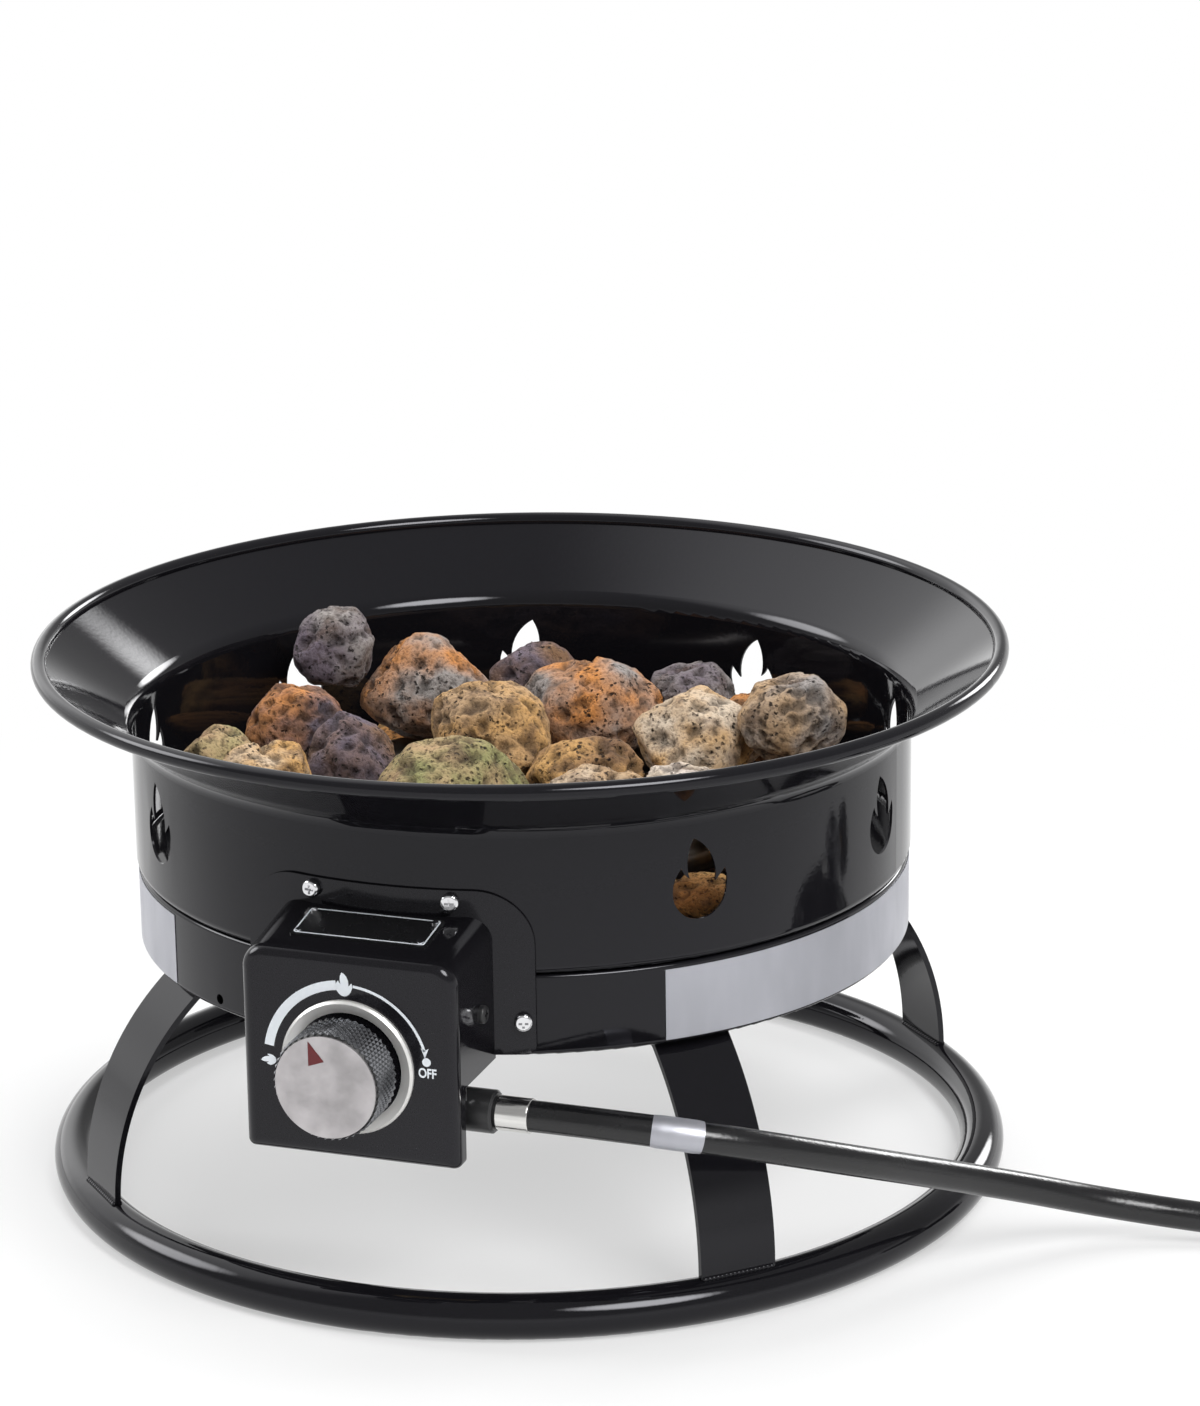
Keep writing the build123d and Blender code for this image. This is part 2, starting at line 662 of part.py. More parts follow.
with BuildPart() as flange_form:
    with BuildSketch(Plane.XZ):
        with BuildLine():
            FilletPolyline(
                (-FLANGE_W / 2, PAN_Z + FLANGE_FOOT_RISE),
                (-FLANGE_W / 2, SEAM_Z + FLANGE_RISE),
                (FLANGE_W / 2, SEAM_Z + FLANGE_RISE),
                (FLANGE_W / 2, PAN_Z + FLANGE_FOOT_RISE),
                close=True,
                radius=[FLANGE_FOOT_R, FLANGE_R, FLANGE_R, FLANGE_FOOT_R],
            )
        make_face()
    extrude(amount=BOX_FRONT)
    with BuildSketch(Plane.XY):
        Circle(BOWL_R + GAP + SHEET)
        Circle(BOWL_R + GAP, mode=Mode.SUBTRACT)
    extrude(amount=RIM_Z, mode=Mode.INTERSECT)

plate_back_plane = Plane(
    origin=(0, -BOX_FRONT + PLATE_BACK, box_top(PLATE_BACK, 0)),
    x_dir=(1, 0, 0),
    z_dir=(0, -math.sin(slope), math.cos(slope)),
)
rivet_span = (PLATE_W - 2 * RIVET_INSET, PLATE_D - 2 * RIVET_INSET)
outer_form = box_form(0)
inner_form = box_form(SHEET)
with BuildPart() as control_box:
    add(outer_form)
    with Locations((0, 0, BOX_FACE_BASE)):
        Cylinder(BOWL_R + GAP, RIM_Z, mode=Mode.SUBTRACT)
    add(flange_form.part)
    add(inner_form, mode=Mode.SUBTRACT)
    with Locations((0, -BOX_FRONT + BOX_LIP, PAN_Z)):
        under_lip = (Align.CENTER, Align.MIN, Align.MAX)
        Box(2 * BOX_W, BOX_FRONT, BOX_FACE_H, align=under_lip, mode=Mode.SUBTRACT)
    with Locations(dial_plane):
        Cylinder(FACE_HOLE_D / 2, 4 * SHEET, mode=Mode.SUBTRACT)
    with Locations(plate_back_plane):
        with GridLocations(*rivet_span, 2, 2):
            Cylinder((RIVET_D + HOLE_CLEAR) / 2, 4 * SHEET, mode=Mode.SUBTRACT)
    with Locations((0, *flank_spot)):
        Cylinder((SCREW_D + HOLE_CLEAR) / 2, 2 * BOX_W, rotation=(0, 90, 0), mode=Mode.SUBTRACT)
    for azimuth, z in flange_spots:
        with Locations(outward_plane(BOWL_R, azimuth, z)):
            Cylinder((SCREW_D + HOLE_CLEAR) / 2, BEAD_D, mode=Mode.SUBTRACT)
keep("control_box", control_box.part)


def cross_screw(plane):
    """A pan-headed screw with a cross recess, its head's seat on the plane."""
    with BuildPart() as screw:
        Cylinder(SCREW_HEAD_D / 2, SCREW_HEAD_H, align=BASE)
        fillet(screw.edges().group_by(Axis.Z)[-1], SCREW_HEAD_H / 2)
        Cylinder(SCREW_D / 2, SCREW_L, align=TOP)
        with Locations((0, 0, SCREW_HEAD_H - CROSS_DEPTH)):
            Box(CROSS_L, CROSS_W, SCREW_HEAD_H, align=BASE, mode=Mode.SUBTRACT)
            Box(CROSS_W, CROSS_L, SCREW_HEAD_H, align=BASE, mode=Mode.SUBTRACT)
    return screw.part.moved(plane.location)


with BuildPart() as flange_screws:
    for azimuth, z in flange_spots:
        add(cross_screw(outward_plane(BOWL_R + 2 * GAP + SHEET, azimuth, z)))
keep("flange_screws", flange_screws.part)

with BuildPart() as flank_screws:
    for sign in (-1, 1):
        add(cross_screw(Plane(origin=(sign * BOX_W / 2, *flank_spot), z_dir=(sign, 0, 0))))
keep("flank_screws", flank_screws.part)

# Blank name plate and its rivets
with BuildPart() as name_plate:
    with BuildSketch(plate_back_plane):
        RectangleRounded(PLATE_W, PLATE_D, PLATE_R)
        with GridLocations(*rivet_span, 2, 2):
            Circle((RIVET_D + HOLE_CLEAR) / 2, mode=Mode.SUBTRACT)
    extrude(amount=PLATE_T)
keep("name_plate", name_plate.part)

with BuildPart() as plate_rivets:
    with Locations(plate_back_plane.offset(PLATE_T)):
        with GridLocations(*rivet_span, 2, 2):
            Cylinder(RIVET_HEAD_D / 2, RIVET_HEAD_H, align=BASE)
            Cylinder(RIVET_D / 2, PLATE_T + 2 * SHEET, align=TOP)
    fillet(plate_rivets.faces().group_by(SortBy.AREA)[-1].edges(), RIVET_HEAD_H / 4)
keep("plate_rivets", plate_rivets.part)

# Dished bezel round the knob
keep("dial_bezel", lathe(
    dial_plane,
    (BEZEL_HOLE_D / 2, 0),
    (BEZEL_D / 2, 0),
    (BEZEL_D / 2, BEZEL_RIM_H - SHEET),
    (BEZEL_D / 2 - SHEET, BEZEL_RIM_H),
    (BEZEL_HOLE_D / 2, BEZEL_SEAT_H),
))

# Valve body: a barrel behind the face, an inlet arm to the right and an outlet arm to the back
barrel_plane = back_plane.offset(BARREL_FRONT)
with BuildPart() as valve_body:
    with Locations(barrel_plane):
        Cylinder(BARREL_D / 2, BARREL_L, align=BASE)
        Cylinder(NOSE_D / 2, NOSE_H, align=TOP)
    with Locations((0, -HOSE_BACK, HOSE_Z - ARM_D / 2)):
        Cylinder(INLET_DROP_D / 2, KNOB_Z - HOSE_Z, align=BASE)
    with Locations(hose_plane):
        Cylinder(ARM_D / 2, INLET_REACH, align=BASE)
    with Locations(pipe_plane.offset(outlet_end)):
        Cylinder(ARM_D / 2, HOSE_BACK - outlet_end, align=BASE)
    with Locations(barrel_plane.offset(-NOSE_H)):
        Cylinder(STEM_D / 2 + RUNNING, BARREL_L, align=BASE, mode=Mode.SUBTRACT)
keep("valve_body", valve_body.part)

# Bracket that carries the valve between the box's two flanks
bracket_half = BOX_W / 2 - SHEET - GAP
with BuildPart() as valve_bracket:
    with Locations(barrel_plane.offset(-BRACKET_T)):
        Box(2 * bracket_half, BRACKET_H, BRACKET_T, align=BASE)
    for sign in (-1, 1):
        with Locations((sign * (bracket_half - BRACKET_T / 2), -BOX_FRONT + BARREL_FRONT, flank_spot[1])):
            Box(BRACKET_T, EAR_L, EAR_H, align=(Align.CENTER, Align.MIN, Align.CENTER))
    with Locations(barrel_plane):
        Cylinder((NOSE_D + HOLE_CLEAR) / 2, 4 * BRACKET_T, mode=Mode.SUBTRACT)
    with Locations((0, *flank_spot)):
        Cylinder((SCREW_D + HOLE_CLEAR) / 2, 2 * BOX_W, rotation=(0, 90, 0), mode=Mode.SUBTRACT)
keep("valve_bracket", valve_bracket.part)

# Push collar, stem, knob, cap and pointer, at rest with the knob out
keep("push_collar", lathe(
    back_plane.offset(COLLAR_BACK),
    (STEM_D / 2 + RUNNING, 0),
    (COLLAR_RING_D / 2, 0),
    (COLLAR_RING_D / 2, COLLAR_RING_H),
    (STEM_D / 2 + RUNNING, COLLAR_RING_H),
))

stem_back = BARREL_FRONT + PUSH
stem_front = KNOB_STAND + KNOB_L - KNOB_WALL
with BuildPart() as valve_stem:
    with Locations(back_plane.offset(-stem_front)):
        Cylinder(STEM_D / 2, stem_front + stem_back, align=BASE)
    with Locations(back_plane.offset(COLLAR_BACK - RUNNING)):
        Cylinder(STEM_SHOULDER_D / 2, STEM_SHOULDER_H, align=TOP)
    with Locations((0, -BOX_FRONT - KNOB_STAND, KNOB_Z + STEM_D / 2 - STEM_FLAT)):
        Box(STEM_D, stem_front, STEM_D, align=(Align.CENTER, Align.MAX, Align.MIN), mode=Mode.SUBTRACT)
keep("valve_stem", valve_stem.part)

knob_r = KNOB_D / 2
with BuildPart() as knob:
    add(lathe(
        dial_plane.offset(KNOB_STAND),
        (0, KNOB_L - CAP_T - KNOB_WALL),
        (knob_r - KNOB_WALL, KNOB_L - CAP_T - KNOB_WALL),
        (knob_r - KNOB_WALL, 0),
        (knob_r - KNOB_EDGE, 0),
        (knob_r, KNOB_EDGE),
        (knob_r, KNOB_L - CAP_T - KNOB_EDGE),
        (knob_r - CAP_INSET, KNOB_L - CAP_T),
        (0, KNOB_L - CAP_T),
    ))
    with Locations(dial_plane.offset(KNOB_STAND)):
        Cylinder(KNOB_HUB_D / 2, KNOB_L - CAP_T, align=BASE)
    add(valve_stem.part, mode=Mode.SUBTRACT)
keep("knob", knob.part)

cap_plane = dial_plane.offset(KNOB_STAND + KNOB_L - CAP_T)
with BuildPart() as knob_cap:
    with Locations(cap_plane):
        Cylinder(knob_r - CAP_INSET, CAP_T, align=BASE)
keep("knob_cap", knob_cap.part)

pointer_turn = math.radians(POINTER_TURN)
pointer_plane = Plane(
    origin=cap_plane.offset(CAP_T).origin,
    x_dir=(math.cos(pointer_turn), 0, math.sin(pointer_turn)),
    z_dir=(0, -1, 0),
)
with BuildPart() as knob_pointer:
    with BuildSketch(pointer_plane):
        with BuildLine():
            Polyline(
                (0, knob_r - POINTER_EDGE),
                (POINTER_W / 2, knob_r - POINTER_EDGE - POINTER_L),
                (-POINTER_W / 2, knob_r - POINTER_EDGE - POINTER_L),
                close=True,
            )
        make_face()
    extrude(amount=POINTER_T)
keep("knob_pointer", knob_pointer.part)


def biarc(start, start_direction, end, end_direction):
    """Two tangent arcs from one point and direction to another."""
    span = end - start
    both = start_direction + end_direction
    square = 2 * start_direction.dot(end_direction) - 2
    along = span.dot(both)
    length = span.dot(span)
    reach = length / (along + math.sqrt(along * along - square * length))
    first = start + start_direction * reach
    last = end - end_direction * reach
    middle = (first + last) / 2
    TangentArc(start, middle, tangent=start_direction)
    TangentArc(middle, end, tangent=last - first)


# Return spring between the valve's nose and the collar
spring_from = COLLAR_BACK + COLLAR_RING_H + SPRING_WIRE / 2 + SKIN_GAP
spring_to = BARREL_FRONT - NOSE_H - SPRING_WIRE / 2 - SKIN_GAP
spring_quarters = round(4 * SPRING_TURNS)


def spring_point(quarter):
    """A point of the spring's wire, so many quarter turns from its front."""
    angle = quarter * math.pi / 2
    back = spring_from + (spring_to - spring_from) * quarter / spring_quarters
    return Vector(
        SPRING_D / 2 * math.cos(angle), -BOX_FRONT + back, KNOB_Z + SPRING_D / 2 * math.sin(angle)
    )


def spring_direction(quarter):
    """The wire's direction there."""
    angle = quarter * math.pi / 2
    climb = (spring_to - spring_from) / spring_quarters / (math.pi / 2)
    return Vector(
        -SPRING_D / 2 * math.sin(angle), climb, SPRING_D / 2 * math.cos(angle)
    ).normalized()


with BuildPart() as valve_spring:
    with BuildLine():
        for quarter in range(spring_quarters):
            biarc(
                spring_point(quarter),
                spring_direction(quarter),
                spring_point(quarter + 1),
                spring_direction(quarter + 1),
            )
    with BuildSketch(Plane(origin=spring_point(0), z_dir=spring_direction(0))):
        Circle(SPRING_WIRE / 2)
    sweep()
keep("valve_spring", valve_spring.part)

# Base ring: a round tube, with a narrow flat where it stands on the floor
with BuildPart() as base_ring:
    with BuildSketch(Plane.XZ):
        with Locations((RING_R, RING_Z)):
            Circle(RING_TUBE_D / 2)
            Circle(RING_TUBE_D / 2 - RING_WALL, mode=Mode.SUBTRACT)
        with Locations((RING_R, 0)):
            Rectangle(RING_TUBE_D, RING_TUBE_D, align=(Align.CENTER, Align.MAX), mode=Mode.SUBTRACT)
    revolve(axis=Axis.Z)
keep("base_ring", base_ring.part)

# Legs: straps bolted under the pan, which curve out and down on to the ring
for name, azimuth in LEG_AZIMUTHS.items():
    with BuildPart() as leg:
        with BuildSketch(section_plane(azimuth)):
            with BuildLine():
                FilletPolyline(*leg_corners, radius=[LEG_BEND_R, leg_bow_r])
                offset(amount=LEG_T, side=Side.RIGHT)
            make_face()
        extrude(amount=LEG_W / 2, both=True)
        for spot in leg_bolt_spots:
            with Locations(spot):
                Cylinder((BOLT_D + HOLE_CLEAR) / 2, 4 * LEG_T, mode=Mode.SUBTRACT)
    keep(name, leg.part)

with BuildPart() as leg_bolts:
    for spot in leg_bolt_spots:
        with Locations(spot - Vector(0, 0, LEG_T)):
            Cylinder(BOLT_HEAD_D / 2, BOLT_HEAD_H, align=TOP)
            Cylinder(BOLT_D / 2, LEG_T + SHEET + NUT_H + SHEET, align=BASE)
keep("leg_bolts", leg_bolts.part)

with BuildPart() as leg_nuts:
    with BuildSketch(Plane.XY.offset(PAN_Z + SHEET)):
        for spot in leg_bolt_spots:
            with Locations((spot.X, spot.Y)):
                RegularPolygon(NUT_ACROSS / 2, 6, major_radius=False)
                Circle((BOLT_D + NUT_CLEAR) / 2, mode=Mode.SUBTRACT)
    extrude(amount=NUT_H)
keep("leg_nuts", leg_nuts.part)

# Hose nut on the valve's inlet arm, and the crimped ferrule
nut_seat = INLET_REACH - HOSE_NUT_FROM + GAP
with BuildPart() as hose_nut:
    with Locations(hose_plane.offset(HOSE_NUT_FROM)):
        Cylinder(HOSE_NUT_D / 2, HOSE_NUT_L, align=BASE)
    chamfer(hose_nut.edges().filter_by(GeomType.CIRCLE), SHEET)
    with Locations(hose_plane.offset(HOSE_NUT_FROM)):
        Cylinder((ARM_D + NUT_CLEAR) / 2, nut_seat, align=BASE, mode=Mode.SUBTRACT)
    with Locations(hose_plane.offset(HOSE_NUT_FROM + HOSE_NUT_L)):
        Cylinder(ARM_D / 2, FERRULE_FROM - HOSE_NUT_FROM - HOSE_NUT_L, align=BASE)
keep("hose_nut", hose_nut.part)

with BuildPart() as hose_ferrule:
    with Locations(hose_plane.offset(FERRULE_FROM)):
        Cylinder(FERRULE_D / 2, FERRULE_L, align=BASE)
    fillet(hose_ferrule.edges().filter_by(GeomType.CIRCLE), SHEET / 2)
keep("hose_ferrule", hose_ferrule.part)

# Hose from the ferrule to its coil: straight runs joined by arcs as large as they allow
route = [Vector(*point) for point in HOSE_ROUTE]
runs = [after - before for before, after in zip(route, route[1:])]
hose_radii = []
for before, after in zip(runs, runs[1:]):
    turn = math.radians(before.get_angle(after))
    hose_radii.append(CORNER_SHARE * min(before.length, after.length) / math.tan(turn / 2))
print("hose bend radii", [round(radius) for radius in hose_radii])
with BuildPart() as hose_run:
    with BuildLine() as hose_line:
        FilletPolyline(*route, radius=hose_radii)
    with BuildSketch(Plane(origin=route[0], z_dir=runs[0])):
        Circle(HOSE_D / 2)
    sweep()
hose_length = hose_line.wire().length
hose_section = math.pi * HOSE_D**2 / 4
print("hose run length", round(hose_length, 1), "volume share",
      round(hose_run.part.volume / (hose_section * hose_length), 4))
keep("hose_run", hose_run.part)

# Coil: spirals in on the floor, climbs a layer in the half turn where it reverses, and out again
coil_quarters = round(4 * COIL_TURNS)
coil_middle = COIL_TURNS * math.pi


def coil_place(angle):
    """Radius and height of the coil after turning through an angle from its start."""
    inward = min(angle, 2 * coil_middle - angle)
    radius = COIL_OUT_R - COIL_PITCH * inward / (2 * math.pi)
    climb = (angle - coil_middle) / math.pi + 0.5
    return radius, COIL_Z + COIL_LAYER * min(max(climb, 0), 1)


def coil_point(angle):
    """A point of the coil's centre line."""
    radius, z = coil_place(angle)
    return Vector(COIL_X + radius * math.sin(angle), COIL_Y - radius * math.cos(angle), z)


def coil_direction(quarter):
    """The hose's direction so many quarter turns from the coil's start."""
    angle = quarter * math.pi / 2
    flat = Vector(math.cos(angle), math.sin(angle), 0)
    if quarter in (0, coil_quarters):
        return flat
    return (coil_point(angle + COIL_STEP) - coil_point(angle - COIL_STEP)).normalized()


coil_ends = [coil_point(0), coil_point(2 * coil_middle)]
coil_out = coil_direction(coil_quarters)
coil_exit = coil_ends[1] + coil_out * COIL_TAIL
with BuildPart() as hose_coil:
    with BuildLine() as coil_line:
        Line(coil_ends[0] - Vector(HOSE_D, 0, 0), coil_ends[0])
        for quarter in range(coil_quarters):
            biarc(
                coil_point(quarter * math.pi / 2),
                coil_direction(quarter),
                coil_point((quarter + 1) * math.pi / 2),
                coil_direction(quarter + 1),
            )
        Line(coil_ends[1], coil_exit)
    with BuildSketch(Plane(origin=coil_ends[0] - Vector(HOSE_D, 0, 0), z_dir=(1, 0, 0))):
        Circle(HOSE_D / 2)
    sweep()
keep("hose_coil", hose_coil.part)

# Least gap between the coil's turns, measured on points of its centre line
coil_wire = coil_line.wire()
points = np.array([tuple(coil_wire.position_at(i / COIL_SAMPLES)) for i in range(COIL_SAMPLES + 1)])
far_along = math.ceil(COIL_SAMPLES * math.pi * COIL_MEAN_D / 2 / coil_wire.length)
apart = np.linalg.norm(points[:, None] - points[None], axis=2)
order = np.arange(COIL_SAMPLES + 1)
apart[np.abs(order[:, None] - order[None]) < far_along] = np.inf
print("coil length", round(coil_wire.length, 1), "least gap", round(apart.min() - HOSE_D, 2),
      "whole hose", round(coil_wire.length + hose_length, 1))

# Tie round the coil, where two turns lie on two
tie_angles = [1.5 * math.pi + 2 * math.pi * turn for turn in range(math.floor(COIL_TURNS))]
tie_radii = [coil_place(angle)[0] for angle in tie_angles]
tie_in = min(tie_radii) - HOSE_D / 2 - TIE_CLEAR
tie_out = max(tie_radii) + HOSE_D / 2 + TIE_CLEAR
tie_low = COIL_Z - HOSE_D / 2 - TIE_CLEAR_Z
tie_high = COIL_TOP_Z + HOSE_D / 2 + TIE_CLEAR_Z
with BuildPart() as coil_tie:
    with BuildSketch(Plane.XZ.offset(-COIL_Y)):
        with Locations((COIL_X - (tie_in + tie_out) / 2, (tie_low + tie_high) / 2)):
            RectangleRounded(tie_out - tie_in + 2 * TIE_T, tie_high - tie_low + 2 * TIE_T, HOSE_D / 4)
            RectangleRounded(tie_out - tie_in, tie_high - tie_low, HOSE_D / 4 - TIE_T, mode=Mode.SUBTRACT)
    extrude(amount=TIE_W / 2, both=True)
keep("coil_tie", coil_tie.part)

# Regulator on the hose's end
end_plane = Plane(origin=coil_exit + coil_out * SKIN_GAP, x_dir=(0, 0, 1), z_dir=coil_out)
with BuildPart() as regulator_ferrule:
    with Locations(end_plane):
        Cylinder(REG_FERRULE_D / 2, REG_FERRULE_L, align=BASE)
    fillet(regulator_ferrule.edges().filter_by(GeomType.CIRCLE), SHEET / 2)
keep("regulator_ferrule", regulator_ferrule.part)

reg_centre = end_plane.origin + coil_out * (REG_FERRULE_L + REG_BOSS_REACH)
reg_ground = Plane(origin=(reg_centre.X, reg_centre.Y, REG_FOOT))
reg_screw_r = (REG_D + REG_RIM_D) / 4
with BuildPart() as regulator_body:
    with Locations(reg_ground):
        Cylinder(REG_D / 2, REG_BODY_H, align=BASE)
    with Locations(reg_ground.offset(REG_BODY_H - REG_RIM_H)):
        Cylinder(REG_RIM_D / 2, REG_RIM_H, align=BASE)
    with Locations(end_plane.offset(REG_FERRULE_L)):
        Cylinder(REG_BOSS_D / 2, 2 * REG_BOSS_REACH, align=BASE)
    with Locations(reg_ground.offset(REG_BODY_H)):
        with PolarLocations(reg_screw_r, REG_SCREWS):
            Cylinder((REG_SCREW_D + HOLE_CLEAR) / 2, 2 * REG_RIM_H, mode=Mode.SUBTRACT)
keep("regulator_body", regulator_body.part)

cover_plane = reg_ground.offset(REG_BODY_H)
with BuildPart() as regulator_cover:
    with Locations(cover_plane):
        Cylinder(REG_RIM_D / 2, REG_RIM_H, align=BASE)
        Cylinder(REG_DOME_D / 2, REG_DOME_H, align=BASE)
    fillet(regulator_cover.edges().group_by(Axis.Z)[-1], REG_RIM_H)
    with Locations(cover_plane):
        with PolarLocations(reg_screw_r, REG_SCREWS):
            Cylinder((REG_SCREW_D + HOLE_CLEAR) / 2, 3 * REG_RIM_H, mode=Mode.SUBTRACT)
keep("regulator_cover", regulator_cover.part)

with BuildPart() as regulator_screws:
    with Locations(cover_plane.offset(REG_RIM_H)):
        with PolarLocations(reg_screw_r, REG_SCREWS):
            Cylinder(REG_SCREW_HEAD_D / 2, REG_SCREW_HEAD_H, align=BASE)
            Cylinder(REG_SCREW_D / 2, 2 * REG_RIM_H, align=TOP)
keep("regulator_screws", regulator_screws.part)

with BuildPart() as regulator_vent:
    with Locations(cover_plane.offset(REG_DOME_H)):
        Cylinder(VENT_D / 2, VENT_H, align=BASE)
    fillet(regulator_vent.edges().group_by(Axis.Z)[-1], SHEET)
keep("regulator_vent", regulator_vent.part)

# Nipple and hand nut that screw on to a gas tank's valve
tank_plane = end_plane.offset(REG_FERRULE_L + 2 * REG_BOSS_REACH)
with BuildPart() as tank_nipple:
    with Locations(tank_plane):
        Cylinder(NIPPLE_D / 2, NIPPLE_L, align=BASE)
    with Locations(tank_plane.offset(NIPPLE_L)):
        Cylinder(NIPPLE_FLANGE_D / 2, NIPPLE_FLANGE_H, align=BASE)
keep("tank_nipple", tank_nipple.part)

chamber_end = COUPLING_BACK_H + COUPLING_CHAMBER_H
coupling_end = chamber_end + COUPLING_THREAD_L
with BuildPart() as coupling_nut:
    add(lathe(
        tank_plane.offset(COUPLING_STAND),
        (NIPPLE_D / 2 + RUNNING, 0),
        (COUPLING_D / 2 - SHEET, 0),
        (COUPLING_D / 2, SHEET),
        (COUPLING_D / 2, coupling_end - SHEET),
        (COUPLING_D / 2 - SHEET, coupling_end),
        (COUPLING_THREAD_D / 2, coupling_end),
        (COUPLING_THREAD_D / 2, chamber_end),
        (COUPLING_CHAMBER_D / 2, chamber_end),
        (COUPLING_CHAMBER_D / 2, COUPLING_BACK_H),
        (NIPPLE_D / 2 + RUNNING, COUPLING_BACK_H),
    ))
    with Locations(tank_plane.offset(COUPLING_STAND)):
        with PolarLocations(COUPLING_D / 2, COUPLING_GRIPS):
            Cylinder(COUPLING_GRIP_D / 2, coupling_end, align=BASE, mode=Mode.SUBTRACT)
keep("coupling_nut", coupling_nut.part)

# Lava rock: lumpy stones let down one by one on to what lies under them, as a heap is poured
dice = random.Random(ROCK_SEED)
cells = round(2 * BOWL_R / ROCK_CELL)
line = (np.arange(cells) - cells / 2) * ROCK_CELL
cell_x, cell_y = np.meshgrid(line, line, indexing="ij")
from_axis = np.hypot(cell_x, cell_y)
off_ring = np.abs(from_axis - BURNER_D / 2)
pile = np.full((cells, cells), FLOOR_Z)
for bolt in range(PAN_BOLTS):
    head = around(PAN_BOLT_R, 360 * bolt / PAN_BOLTS, FLOOR_Z + BOLT_HEAD_H)
    pile[np.hypot(cell_x - head.X, cell_y - head.Y) < BOLT_HEAD_D / 2] = head.Z
pile[from_axis < COLLAR_D / 2] = FLOOR_Z + GASKET_T + COLLAR_H
off_cross = np.where(from_axis < BURNER_D / 2, np.abs(cell_y), np.inf)
burner_tubes = ((off_ring, BURNER_TUBE_D, BURNER_ROUND), (off_cross, CROSS_TUBE_D, CROSS_TUBE_D / 2))
for off_tube, width, rounding in burner_tubes:
    over = off_tube < width / 2
    flat = width / 2 - rounding
    beyond = np.maximum(off_tube[over] - flat, 0)
    pile[over] = np.maximum(pile[over], burner_z + flat + np.sqrt(rounding**2 - beyond**2))


def lumpy_stone(length, width, height):
    """Corners of a lumpy stone about the origin, turned to a random heading."""
    heading = dice.uniform(0, math.pi)
    golden = math.pi * (3 - math.sqrt(5))
    corners = []
    for index in range(ROCK_POINTS):
        level = 1 - 2 * (index + 0.5) / ROCK_POINTS
        ring = math.sqrt(1 - level * level)
        swell = 1 - ROCK_LUMPS * dice.random()
        along = length / 2 * swell * ring * math.cos(golden * index)
        across = width / 2 * swell * ring * math.sin(golden * index)
        corners.append((
            along * math.cos(heading) - across * math.sin(heading),
            along * math.sin(heading) + across * math.cos(heading),
            height / 2 * swell * level,
        ))
    return np.array(corners)


def let_down(corners, x, y):
    """The stone's corners after it is let down at a place, which raises the pile there."""
    reach = np.hypot(corners[:, 0], corners[:, 1]).max()
    limit = BOWL_R - SHEET - ROCK_WALL_CLEAR - reach
    away = math.hypot(x, y)
    inward = min(1, limit / away) if away else 1
    corners = corners + (x * inward, y * inward, 0)
    planes = ConvexHull(corners).equations
    near = np.hypot(cell_x - x * inward, cell_y - y * inward) < reach + ROCK_CELL
    px, py = cell_x[near], cell_y[near]
    heights = -(planes[:, :2] @ np.array([px, py]) + planes[:, 3:] - ROCK_SKIN)
    up, down = planes[:, 2] > 0, planes[:, 2] < 0
    top = (heights[up] / planes[up, 2:3]).min(axis=0)
    bottom = (heights[down] / planes[down, 2:3]).max(axis=0)
    inside = bottom < top
    lift = (pile[near][inside] - bottom[inside]).max()
    raised = pile[near]
    raised[inside] = np.maximum(raised[inside], top[inside] + lift)
    pile[near] = raised
    return corners + (0, 0, lift)


with BuildPart() as lava_bed:
    for ring_r, count, size in BED_RINGS:
        for place in range(count):
            spot = around(ring_r, 360 * place / count + dice.uniform(0, 180 / count), 0)
            stone = lumpy_stone(size, size * dice.uniform(*BED_WIDTHS), size * BED_FLATNESS)
            ConvexPolyhedron([tuple(corner) for corner in let_down(stone, spot.X, spot.Y)])
keep("lava_bed", lava_bed.part)

with BuildPart() as lava_heap:
    for x, y, length, width, height in HEAP:
        stone = lumpy_stone(length, width, height)
        ConvexPolyhedron([tuple(corner) for corner in let_down(stone, x, y)])
keep("lava_heap", lava_heap.part)
print("top of the rock heap", round(pile.max(), 1))
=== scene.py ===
# %% [markdown]
# # A propane fire pit, finished piece by piece
#
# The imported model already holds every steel, brass and rubber piece at its real size.
# This lesson dresses that model: it lays the hose, rounds and pits the lava rock, prints the dial,
# and gives each surface the finish that the real one has. Nothing is moved or resized.

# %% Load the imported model
import cmath
import json
import math
import random

import bmesh
import bpy
import numpy as np
from mathutils import Matrix, Quaternion, Vector, noise


